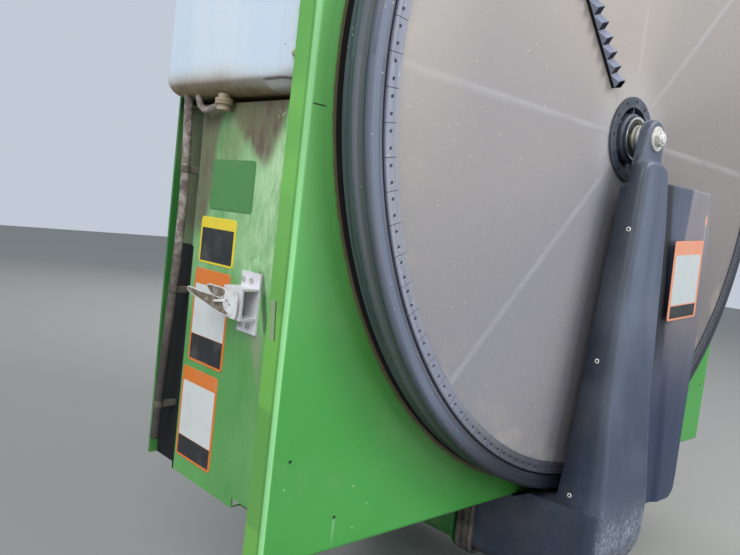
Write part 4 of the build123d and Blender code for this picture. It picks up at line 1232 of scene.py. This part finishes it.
finishes.update(
    bright=metal_finish("bright_steel", (234, 236, 232), (170, 164, 148), 0.26),
    zinc=metal_finish("dull_zinc", (206, 204, 198), (140, 128, 112), 0.42, 0.7, 0.5),
    sleeve=turned_steel("worn_sleeve", (150, 150, 126), 0.0, 0.0),
    race=turned_steel("bearing_race", (230, 232, 230), 0.0375, 0.0383),
    brass=metal_finish("dull_brass", (150, 146, 104), (118, 110, 76), 0.5, 0.5),
    # hole: near black, painted shade for the insides of holes and sunk sockets.
    hole=metal_finish("hole_shade", (16, 17, 20), (30, 28, 27), 0.8, 0.1),
)
print("metals ready")

# %% [markdown]
# ## Hub and spindle
#
# The hub is a casting with a ribbed recess, and its exact solid already has that form. What it lacks is
# small: a ring of twelve sunk screws in the flange, shown as dots painted near black as the shade in
# their sockets, the bearing's bright ring and seal, and on the spindle a washer, a nut with rounded
# corners and the bolt's end. A nut is a hexagon whose radius is cut down at its ends by a cone.

# %% Screws, nuts and the bearing
def screw(radius, height, socket=0.45):
    """Domed head with a sunk socket."""
    r, h = radius, height
    return turned([(r, 0), (r, h * 0.55), (r * 0.93, h * 0.85), (r * 0.78, h), (r * socket, h),
                   (r * socket * 0.9, h * 0.35)], 14)


def nut(across, height, bore, steps=36):
    """Hexagon r = apothem / cos(a), limited near each end by a cone, with a plain hole's rim."""
    a = full_turn(steps)
    hexagon = across / 2 / np.cos((a + np.pi / 6) % (np.pi / 3) - np.pi / 6)
    rows = []
    for h, limit in ((0.0, 0.53), (0.06, 0.56), (0.12, 0.60), (0.88, 0.60), (0.94, 0.56),
                     (1.0, 0.51)):
        r = np.minimum(hexagon, across * limit)
        rows.append(joined(r * np.cos(a), r * np.sin(a), h * height))
    return capped(np.array(rows + [joined(bore * np.cos(a), bore * np.sin(a), height)]))


def bolt_head(across, height):
    """Hexagon head on a round flange."""
    flange = turned([(across * 0.66, 0), (across * 0.66, 1.0), (across * 0.60, 1.6),
                     (across * 0.4, 2.0)], 20)
    head = nut(across, height, across * 0.3)
    return flange + Shape(head.points + (0, 0, 1.2), head.quads, head.tris)


ahead = (0, -1, 0)
flange_screws, flange_ring_r, flange_face = 12, 65.0, -4.0
turns = full_turn(flange_screws)
flange_spots = joined(flange_ring_r * np.cos(turns), flange_face, flange_ring_r * np.sin(turns))
# The sunk screws are thin dots of painted shade.
sunk_screw = turned([(3.1, 0), (3.1, 0.25), (2.7, 0.35), (2.2, 0.1)], 16)
piece("hub_screws", placed(sunk_screw, flange_spots, ahead), "rotor", "dark_steel", "hole")

bearing = [(34.2, -8.0), (40.0, -8.0), (40.0, -12.0), (39.0, -13.0), (35.6, -13.0), (34.2, -12.0)]
seal = [(25.4, -8.0), (34.4, -8.0), (34.4, -10.4), (33.0, -11.0), (27.0, -11.4), (25.4, -10.8)]
piece("bearing_ring", spun(bearing, 96), "rotor", "bright_steel", "race", ["bearing_cap"])
piece("bearing_seal", spun(seal, 96), "rotor", "rubber", "rubber")

washer = turned([(21.5, 0), (21.5, 2.2), (20.8, 3.0), (9.0, 3.0)], 40)
hex_nut = nut(23.5, 8.0, 8.6)
stud = turned([(8.0, 0), (8.0, 11.6), (6.8, 12.8), (3.0, 13.0)], 28)
washer_and_nut = placed(washer, (0, tab_front, 0), ahead)
washer_and_nut += placed(hex_nut, (0, tab_front - 3.0, 0), ahead, 0.3)
piece("spindle_washer", washer_and_nut, "door", "zinc", "zinc", ["spindle_bolt"])
piece("spindle_end", placed(stud, (0, tab_front - 1.2, 0), ahead), "door", "zinc", "bright")

# %% [markdown]
# ## Toothed strip
#
# A saw-toothed strip lies along one radius of the screen and breaks up straw. Its teeth are cut askew:
# each crest runs a little inwards as it crosses the strip. Seen from below, the slopes that face the
# hub lie in shade and those that face the rim catch the sky, and both are painted so: painted shade on
# the first, painted light on the second.

# %% Toothed strip
strip_turn = math.radians(135.0)
strip_in, strip_out, strip_half = 112.0, 575.0, 10.0
tooth_first, tooth_pitch, tooth_rise, askew = 107.0, 27.0, 11.0, 0.45
strip_base, strip_crest = -5.0, -16.0


def strip_shape():
    """Rows along the radius; the top is a triangle wave of the radius moved askew by the width."""
    half = np.array([4.0, strip_half - 4.0, strip_half - 0.8, strip_half, strip_half])
    t = np.concatenate([-half[::-1], [0.0], half])
    tooth = np.array([0.0, 1e-3, tooth_rise, tooth_rise + 1.2])
    knots = np.sort((tooth_first + tooth_pitch * np.arange(-2, 20)[:, None] + tooth).ravel())
    r = knots[:, None] - askew * t[None, :]
    phase = (knots[:, None] - tooth_first) % tooth_pitch + 0 * t[None, :]
    wave = np.interp(phase, [0.0, tooth_rise, tooth_rise + 1.2, tooth_pitch], [0.0, 1.0, 1.0, 0.0])
    y = strip_base + (strip_crest - strip_base) * wave
    eased_edge = np.isclose(np.abs(t), strip_half)
    y = np.where(eased_edge[None, :], np.minimum(y + 0.8, -0.5), y)
    y[:, [0, -1]] = 0.0
    r = np.clip(r, strip_in, strip_out)
    c, s = math.cos(strip_turn), math.sin(strip_turn)
    return capped(joined(r * c + t * s, y, r * s - t * c))


def strip_finish():
    """A black foot, painted shade on the slopes towards the hub, and painted light, pale lilac, on the
    slopes towards the rim and on the side.
    """
    finish = Finish("strip_slate", Specular_IOR_Level=0.25)
    c, s = math.cos(strip_turn), math.sin(strip_turn)
    r = (finish.x * c + finish.z * s) / MM
    t = (finish.x * s - finish.z * c) / MM
    along_tooth = finish.node("ShaderNodeMath", {"operation": "FLOORED_MODULO"},
                              {0: r + t * askew - tooth_first, 1: tooth_pitch})
    # Painted light on the slopes that face the rim and on the side, painted shade on those that face the
    # hub.
    lit_slope = along_tooth.fade(tooth_rise + 0.8, tooth_rise + 1.8)
    cloud = finish.noise(60.0, 4.0, 0.65).fade(0.35, 0.68)
    dark = finish.mix(cloud, rgb(11, 15, 25), rgb(22, 27, 40))
    light = finish.mix(cloud, rgb(106, 112, 132), rgb(124, 128, 146))
    side = t.fade(1.2 - strip_half, 0.4 - strip_half)
    finish.colour = finish.mix(side, finish.mix(lit_slope, dark, light), rgb(146, 152, 172))
    foot = side * finish.depth().fade(strip_base - 0.8, strip_base + 0.4)
    finish.lay(foot, (14, 14, 15))
    return finish.done(0.55 + cloud * 0.15, height=cloud, depth=0.0003)


finishes["strip"] = strip_finish()
piece("strip_teeth", strip_shape(), "rotor", "strip_plastic", "strip", ["toothed_strip"])

# %% [markdown]
# ## Tank
#
# The coolant tank is blown from milky plastic: a box with round edges and a round belly, and a shallow
# step in its lower front corner. Loops shrink from its outer edge to the middle of its face, and the
# step is pressed in afterwards by moving the points inside it.

# %% Tank finish and shape
def tank_finish():
    """Milky plastic, brown silt along its foot, a few specks, upright water marks, and a painted shade
    line along the upper edge of the pressed step.
    """
    finish = Finish("tank_milky", Roughness=0.35, Subsurface_Weight=0.12)
    marks = finish.noise(14.0, 3.0, 0.6, (1.0, 1.0, 0.12)).fade(0.40, 0.70)
    finish.base(marks * 0.6, (206, 220, 232), (224, 230, 234))
    y = finish.depth()
    z = finish.z / MM
    front_end = y.fade(140.0, 112.0)
    finish.lay(front_end * 0.35, (178, 178, 190))
    level = z + finish.noise(9.0, 4.0, 0.6) * 16.0 - 8.0 + y.fade(300.0, 110.0) * 12.0
    haze = level.fade(8.0, -20.0)
    finish.lay(haze * 0.45, (188, 178, 154))
    recess = y.fade(tank_low[1] + 66.0, tank_low[1] + 58.0)
    silt = level.fade(-6.0, -34.0) * (1.0 - recess * 0.85 * z.fade(-42.0, -34.0))
    finish.lay(recess * z.fade(-20.0, -30.0) * 0.7, (200, 196, 198))
    mottle = finish.noise(40.0, 5.0, 0.7).fade(0.30, 0.70)
    brown = finish.mix(mottle, rgb(116, 100, 70), rgb(146, 128, 94))
    finish.lay(silt * 0.95, brown)
    # Painted shade along the upper edge of the pressed step.
    step = z.band(tank_low[2] + 20.0, tank_low[2] + 21.6, 0.8) * recess
    finish.lay(step * 0.7, (70, 60, 54))
    finish.lay(finish.specks(34.0, 0.07) * 0.8, (90, 92, 96))
    return finish.done(0.3 + silt * 0.3, height=finish.noise(40.0, 2.0), depth=0.0006)


def tank_shape():
    """Loops in y and z from the face's middle out, over the round edge r (1 - sin, 1 - cos), and back.
    The foot rises towards both ends by 14 |(y - middle) / 170|^2.5."""
    y0, y1, z0, z1 = tank_low[1], tank_high[1], tank_low[2], tank_high[2]
    x0, x1 = tank_low[0], tank_high[0]
    edge, corner = 24.0, 30.0
    face = np.linspace(118.0, edge, 60)
    a = np.linspace(0, np.pi / 2, 12)
    inset = np.concatenate([face, edge * (1 - np.sin(a[1:])), [0.0, 3.0]])
    x = np.concatenate([np.full(60, x0), x0 + edge * (1 - np.cos(a[1:])), [x1 - 3.0, x1]])
    flat = loops(y0 + inset, y1 - inset, z0 + inset, z1 - inset, np.maximum(corner - inset, 3.0), 26)
    y, z = flat[..., 0], flat[..., 1]
    z = z + 14.0 * np.abs((y - 265.0) / 170.0) ** 2.5 * np.clip((z0 + 55.0 - z) / 55.0, 0, 1)
    pressed = 1 / (1 + np.exp((y - (y0 + 60.0)) / 1.2)) / (1 + np.exp((z - (z0 + 20.5)) / 0.6))
    return capped(joined(x[:, None] + 6.0 * pressed * (x[:, None] < x1 - 10), y, z))


finishes["tank"] = tank_finish()
piece("tank_shell", tank_shape(), "housing", "tank_plastic", "tank", ["coolant_tank"])

# %% [markdown]
# Under the tank a short neck with two collars lets the overflow out. A thin hose hooks from it back up
# behind the tank, and a thicker one runs down the wall, where three saddles hold it. Both hoses are
# tubes along a soft line.

# %% Neck and hoses
def hose_finish():
    """Grey hose under mottled dust, in painted shade down the wall and near black towards its lower end.
    """
    finish = Finish("dusty_hose", Roughness=0.85)
    mottle = finish.noise(70.0, 6.0, 0.7).fade(0.38, 0.62)
    finish.base(mottle, (104, 92, 86), (170, 158, 150))
    pits = finish.noise(150.0, 4.0, 0.7).fade(0.58, 0.70)
    finish.lay(pits * 0.7, (58, 50, 48))
    # Painted shade: darker down the wall, near black towards the hose's lower end.
    shade = finish.z.fade(-0.24, -0.33)
    finish.lay(shade * 0.75, (88, 78, 74))
    finish.lay(finish.z.fade(-0.36, -0.46) * 0.7, (46, 44, 44))
    return finish.done(height=mottle, depth=0.0008)


def moulded(name, light, deep, rough):
    """One plain material with soft clouds."""
    finish = Finish(name, Roughness=rough)
    cloud = finish.noise(30.0, 5.0, 0.65).fade(0.35, 0.68)
    finish.base(cloud, deep, light)
    return finish.done(rough + cloud * 0.1, height=finish.noise(300.0, 3.0), depth=0.0003)


finishes.update(
    hose=hose_finish(),
    neck=moulded("tank_fitting", (186, 172, 146), (150, 134, 108), 0.6),
    clip=moulded("saddle_dusty", (112, 104, 92), (74, 72, 60), 0.8),
)
hose_x, recess_x = -656.0, reach("left_wall_foot")[1][0] - 3.0
#        height  y
hose_line = np.array([(-8.0, 394.0), (-46.0, 391.0), (-70.0, 387.5), (-129.0, 382.4),
                      (-194.0, 378.5), (-266.0, 381.0), (-318.0, 383.0), (-380.0, 389.0),
                      (-480.0, 397.0), (-600.0, 403.0)])
hook_line = np.array([(-54.0, 286.0), (-56.0, 311.0), (-60.5, 334.0), (-56.0, 348.0),
                      (-48.0, 357.0), (-34.0, 360.0)])
#            radius  height
neck_line = [(6.4, -60.8), (9.2, -62.0), (10.1, -61.0), (10.1, -53.8), (12.5, -53.4), (13.2, -52.4),
             (13.2, -50.0), (12.2, -49.2), (13.1, -48.4), (13.1, -45.0), (9.6, -44.0), (9.0, -38.0)]
neck = placed(turned(neck_line, 28), (hose_x, 286.0, 0.0), (0, 0, 1))
piece("overflow_neck", neck, "housing", "fitting", "neck", ["drain_neck"])
hoses = tube(joined(hose_x, hose_line[:, 1], hose_line[:, 0]), 6.8)
hoses += tube(joined(hose_x, hook_line[:, 1], hook_line[:, 0]), 5.2, 40, 14, 3)
piece("hoses", hoses, "housing", "rubber", "hose", ["overflow_hose"])
saddle_z = np.array([-150.0, -340.0, -530.0])
saddle_y = np.interp(-saddle_z, -hose_line[:, 0], hose_line[:, 1])
saddle_block = plate(9.0, 11.0, 25.0, 2.0)
saddle_ring = turned([(7.0, -5.5), (7.5, -5.1), (7.5, 5.1), (7.0, 5.5)], 28)
saddles = placed(saddle_block, joined(recess_x, saddle_y, saddle_z), (-1, 0, 0))
saddles += placed(saddle_ring, joined(hose_x, saddle_y, saddle_z), (0, 0, 1))
piece("hose_saddles", saddles, "housing", "zinc", "clip", ["hose_clips"])

# %% [markdown]
# ## Signs
#
# The plates on the wall and on the duct carry no words here: each is a thin sheet with plain blocks of
# colour. Its blocks are read from the plate's own UV map, which runs from 0 to 1 across and up.

# %% Sign finish
def sign_finish(name, edge_colour, blocks):
    """Colour blocks (u0, v0, u1, v1, colour) over a border colour, a little dusty."""
    finish = Finish(name, Roughness=0.4)
    uv = finish.node("ShaderNodeUVMap")
    u, v = (finish.node("ShaderNodeSeparateXYZ", {}, {0: uv}, axis) for axis in "XY")
    finish.colour = rgb(*edge_colour)
    for u0, v0, u1, v1, tone in blocks:
        inside = u.band(u0, u1, 0.006) * v.band(v0, v1, 0.006)
        finish.lay(inside, tone)
    dust = finish.noise(26.0, 4.0, 0.65).fade(0.46, 0.78) * 0.18
    finish.lay(dust, (176, 168, 146))
    return finish.done(0.32 + dust, height=finish.noise(60.0, 2.0), depth=0.0003)


def sign(name, body, middle, across, up, direction, finish, lean=0.0):
    """Thin rounded plate at a place, with a UV map over its face."""
    flat = plate(across, up, 0.8, 6.0, 0.3)
    made = piece(name, placed(flat, middle, direction, lean), body, "", finish, crease=60)
    uv = joined(flat.points[:, 0] / across + 0.5, flat.points[:, 1] / up + 0.5)
    mesh = made.data
    layer = mesh.uv_layers.new(name="UVMap")
    corner = np.empty(len(mesh.loops), int)
    mesh.loops.foreach_get("vertex_index", corner)
    layer.data.foreach_set("uv", uv[corner].ravel())
    return made


black, white, orange, yellow = (38, 40, 42), (220, 223, 220), (230, 126, 44), (240, 214, 50)
#                border, then blocks
sign_colours = {
    "sign_yellow": (yellow, (0.05, 0.05, 0.95, 0.76, black)),
    "sign_upper": (orange, (0.05, 0.30, 0.95, 0.83, white), (0.05, 0.03, 0.95, 0.29, black)),
    "sign_lower": (orange, (0.05, 0.24, 0.95, 0.84, white), (0.05, 0.03, 0.95, 0.23, black)),
    "sign_duct": ((206, 136, 104), (0.07, 0.20, 0.93, 0.82, (176, 182, 182)),
                  (0.07, 0.03, 0.93, 0.18, black)),
    "sign_green": ((70, 132, 68), (0.03, 0.03, 0.97, 0.97, (76, 138, 70))),
}
for name, (border, *blocks) in sign_colours.items():
    finishes[name] = sign_finish(name, border, blocks)
#         name            y0     y1    z_low   z_high  finish
wall_signs = [
    ("wall_plate_green", 211.0, 325.0, -206.0, -131.0, "sign_green"),
    ("wall_sign_yellow", 245.0, 343.0, -289.0, -218.0, "sign_yellow"),
    ("wall_sign_upper", 247.0, 347.0, -444.0, -298.0, "sign_upper"),
    ("wall_sign_lower", 254.0, 357.0, -600.0, -455.0, "sign_lower"),
]
for name, y0, y1, z_low, z_high, finish in wall_signs:
    sign(name, "housing", (wall_x, (y0 + y1) / 2, (z_low + z_high) / 2), y1 - y0, z_high - z_low,
         (-1, 0, 0), finish)
sign("duct_sign", "door", (179.0, -60.2, -242.0), 124.0, 152.0, ahead, "sign_duct", 0.07)

# %% [markdown]
# ## Latch
#
# The latch is a zinc bracket with a box that is open to the front. Its exact solid has that form. The
# lever on it is two thin leaves, a long low one and a short high one, on a hinge plate with a pin.
# Each leaf is an outline in the lever's own plane. Dust lies on its face, so only its rim shines.

# %% Latch lever
lever_lean = math.radians(7.0)
lever_root = np.array([-670.3, 169.0, -329.0])
lever_along = np.array([-math.sin(lever_lean), math.cos(lever_lean), 0.0])
lever_out = np.array([-math.cos(lever_lean), -math.sin(lever_lean), 0.0])
#             along, up from the root's middle
low_leaf = [(15.4, -16.0), (21.3, -20.0), (51.0, -15.3), (78.0, -7.5), (113.0, 0.6), (119.0, 6.0),
            (116.0, 10.4), (91.7, 7.7), (72.7, 6.5), (50.6, 5.9), (41.2, 2.7), (29.7, -2.4)]
high_leaf = [(28.0, 9.5), (37.7, 3.3), (54.1, 4.7), (64.1, 9.8), (71.8, 17.0), (67.0, 20.4),
             (62.5, 20.0), (46.3, 20.0), (27.6, 18.7)]
hinge_plate = [(2.0, -20.4), (14.7, -20.5), (32.7, -6.3), (31.0, 8.0), (27.5, 17.6), (2.0, 18.1)]


def in_lever(at, up, out):
    """Places in the lever's own directions."""
    return lever_root + at * lever_along + up * np.array([0.0, 0.0, 1.0]) + out * lever_out


def leaf(outline, floor, thick, inset=0.0, cuts=3):
    """Solid outline in the lever's plane, each corner cut a few times and its outer edge eased."""
    line = np.asarray(outline, float)
    for _ in range(cuts):
        after = np.roll(line, -1, axis=0)
        line = np.stack([line * 0.75 + after * 0.25, line * 0.25 + after * 0.75], axis=1).reshape(-1, 2)
    inward = unit_normals(np.roll(line, -1, axis=0) - np.roll(line, 1, axis=0))
    rows = []
    for shrink, lift in ((0.3, 0.0), (0.0, 0.3), (0.0, thick - 0.4), (0.3, thick)):
        flat = line + inward * (inset + shrink)
        rows.append(in_lever(flat[:, :1], flat[:, 1:], floor + lift))
    return capped(np.array(rows))


def leaf_finish():
    """Zinc whose faces hold brown dust."""
    finish = Finish("leaf_zinc", Roughness=0.5)
    dust = finish.noise(90.0, 6.0, 0.75).fade(0.30, 0.58)
    finish.base(dust, (176, 168, 156), (112, 99, 80))
    pits = finish.noise(240.0, 3.0, 0.7).fade(0.60, 0.70)
    finish.lay(pits * 0.6, (70, 62, 52))
    return finish.done(0.5 + dust * 0.3, 0.2, height=dust, depth=0.0005)


finishes.update(
    leaf=leaf_finish(),
    hinge=metal_finish("hinge_zinc", (224, 224, 220), (112, 104, 92), 0.45, 0.35, 0.8),
    pale_zinc=metal_finish("pale_zinc", (228, 226, 222), (186, 176, 160), 0.4, 0.4, 0.3),
)
leaves = leaf(low_leaf, 0.6, 2.6) + leaf(high_leaf, 3.0, 2.6)
piece("latch_leaves", leaves, "housing", "zinc", "pale_zinc", ["latch_lever"])
dusty_faces = leaf(low_leaf, 2.8, 0.7, 1.5) + leaf(high_leaf, 5.2, 0.7, 1.3)
piece("latch_leaf_faces", dusty_faces, "housing", "zinc", "leaf")

pin_start, pin_stop = in_lever(30.0, 1.6, 5.2), in_lever(51.5, -2.0, 5.2)
pin = turned([(1.6, 0), (2.0, 0.6), (2.0, 21.0), (1.5, 21.8)], 14)
pin = placed(pin, pin_start, pin_stop - pin_start)
rivets = turned([(2.2, -0.4), (2.2, 0.4), (1.9, 0.8), (1.0, 1.1)], 14)
rivet_spots = [in_lever(at, up, 5.4) for at, up in ((24.6, 4.3), (17.6, -1.1), (20.8, -12.7))]
rivets = placed(rivets, rivet_spots, lever_out)
piece("latch_hinge", leaf(hinge_plate, 3.8, 1.6, 0.0, 1) + pin, "housing", "zinc", "hinge")

# %% [markdown]
# ## Fasteners
#
# Screws, bolts and rivets sit where the photo shows them, and in even rows where it does not reach. A
# table gives each kind its places and the way it faces.

# %% Fasteners on the three bodies
wall_way, back_way = (-1, 0, 0), (0, 1, 0)
pan = screw(4.6, 2.2, 0.5)
rivet = turned([(3.4, 0), (3.4, 0.5), (2.9, 1.2), (1.8, 1.7), (0.6, 1.8)], 16)
ring_screw = turned([(4.2, 0), (4.2, 0.6), (3.6, 1.0), (2.4, 1.0), (2.1, 0.4)], 20)
# dark_dot: a near-black dot of painted shade in a hole or socket.
dark_dot = turned([(2.3, 0), (2.3, 0.45), (1.6, 0.5)], 14)
frame_bolt = bolt_head(13.0, 5.3)

arm_spots = [(-59.9, -53.0, -161.0), (-86.2, -44.7, -389.6), (-119.6, -47.7, -619.6)]
latch_spots = [(wall_x - 3.0, y, z) for y in (188.0, 208.0) for z in (-297.0, -362.0)]
box_spots = [(latch_low[0], 190.0, -322.0), (latch_low[0], 184.0, -335.0)]
latch_screws = placed(pan, latch_spots, wall_way) + placed(rivet, box_spots, wall_way) + rivets
tank_bolt = placed(bolt_head(6.4, 3.4), (-667.0, 109.0, 3.0), (-1, -1, 0))
plug = turned([(14.0, 0), (14.0, 0.8), (13.0, 1.2), (12.2, 0.3), (11.4, 0.6), (8.0, 2.4),
               (3.0, 3.2)], 32)
hole_rim = turned([(3.6, 0), (3.6, 0.25), (3.0, 0.5), (2.5, 0.2)], 18)
door_holes = [(-644.0, door_front, -515.6), (mark_x, door_front, mark_z), (644.0, door_front, -515.6)]
hinge_x = reach("hinge_leaf_lower")[0][0]
hinge_heights, hinge_face_y = (-434.7, 485.3), 80.0
leaf_bolts = [(hinge_x + 4.0, hinge_face_y, z + dz) for z in hinge_heights for dz in (-26.0, 26.0)]
frame_x, frame_y = 652.0, 113.0
frame_spots = [(x, frame_y, z) for x in (-frame_x, frame_x) for z in range(-560, 561, 280)]
spindle_nut = placed(nut(30.0, 14.0, 10.0), (0.0, reach("spindle")[1][1], 0.0), back_way)
#    name, each at its places and facing its way, body, slot, finish
fasteners = [
    ("arm_screws", placed(ring_screw, arm_spots, wall_way), "door", "zinc", "pale_zinc"),
    ("arm_screw_sockets", placed(dark_dot, arm_spots, wall_way), "door", "dark_steel", "hole"),
    ("latch_screws", latch_screws, "housing", "zinc", "zinc"),
    ("tank_bolt", tank_bolt, "housing", "zinc", "brass"),
    ("wall_plug", placed(plug, (wall_x, 187.0, -276.4), wall_way), "housing", "green_paint", "wall"),
    ("door_hole_rims", placed(hole_rim, door_holes, ahead), "door", "green_paint", "door"),
    ("door_hole_cores", placed(dark_dot, door_holes, ahead), "door", "dark_steel", "hole"),
    ("hinge_bolts", placed(frame_bolt, leaf_bolts, (1, 0, 0)), "door", "zinc", "zinc"),
    ("frame_bolts", placed(frame_bolt, frame_spots, back_way), "housing", "zinc", "zinc"),
    ("spindle_nut", spindle_nut, "door", "zinc", "zinc"),
]
for row in fasteners:
    piece(*row)

# %% [markdown]
# ## Finishes of the exact solids
#
# The solids whose shape is right stay as they are and only take a finish.

# %% Foam, caps and the rest
finishes.update(
    cap=moulded("tank_cap", (50, 52, 56), (30, 31, 34), 0.5),
    foam=moulded("seal_foam", (44, 43, 42), (20, 20, 21), 0.95),
    hub=moulded("hub_casting", (71, 77, 89), (46, 51, 61), 0.45),
    latch=metal_finish("latch_zinc", (238, 234, 238), (190, 178, 166), 0.45, 0.35, 0.3),
)
own_finish = {
    "door": ["door_sheet_upper", "door_sheet_lower"],
    "wall": ["left_wall_foot", "left_wall_top", "tank_niche"],
    "green": ["door_crossbar", "door_upright_top", "door_upright_foot", "front_frame", "right_wall",
              "housing_roof", "housing_floor", "rear_frame", "hinge_leaf_lower",
              "hinge_leaf_upper", "hinge_bracket_lower", "hinge_bracket_upper", "boot_bracket",
              "inlet_hanger", "suction_inlet"],
    "hub": ["rotor_hub", "rotor_spokes"],
    "bright": ["spindle"],
    "sleeve": ["spindle_spacer"],
    "zinc": ["door_striker"],
    "latch": ["latch_base"],
    "foam": ["door_seal"],
    "cap": ["tank_cap"],
}
for finish, names in own_finish.items():
    for name in names:
        solid = frame["nodes"][name]
        for place in solid.material_slots:
            place.material = finishes[finish]
        if not solid.material_slots:
            solid.data.materials.append(finishes[finish])
print("solids finished:", sum(len(names) for names in own_finish.values()))

# %% [markdown]
# ## Floor
#
# A plain pale floor under the unit, and the end of the notebook.

# %% Floor and finish
floor = Finish("pale_floor", Roughness=0.8)
floor_mesh = bpy.data.meshes.new("floor")
floor_mesh.from_pydata([(-9, -9, floor_z), (9, -9, floor_z), (9, 9, floor_z), (-9, 9, floor_z)], [],
                       [(0, 1, 2, 3)])
floor.colour = rgb(140, 140, 136)
floor_mesh.materials.append(floor.done())
floor_piece = bpy.data.objects.new("floor", floor_mesh)
scene.collection.objects.link(floor_piece)
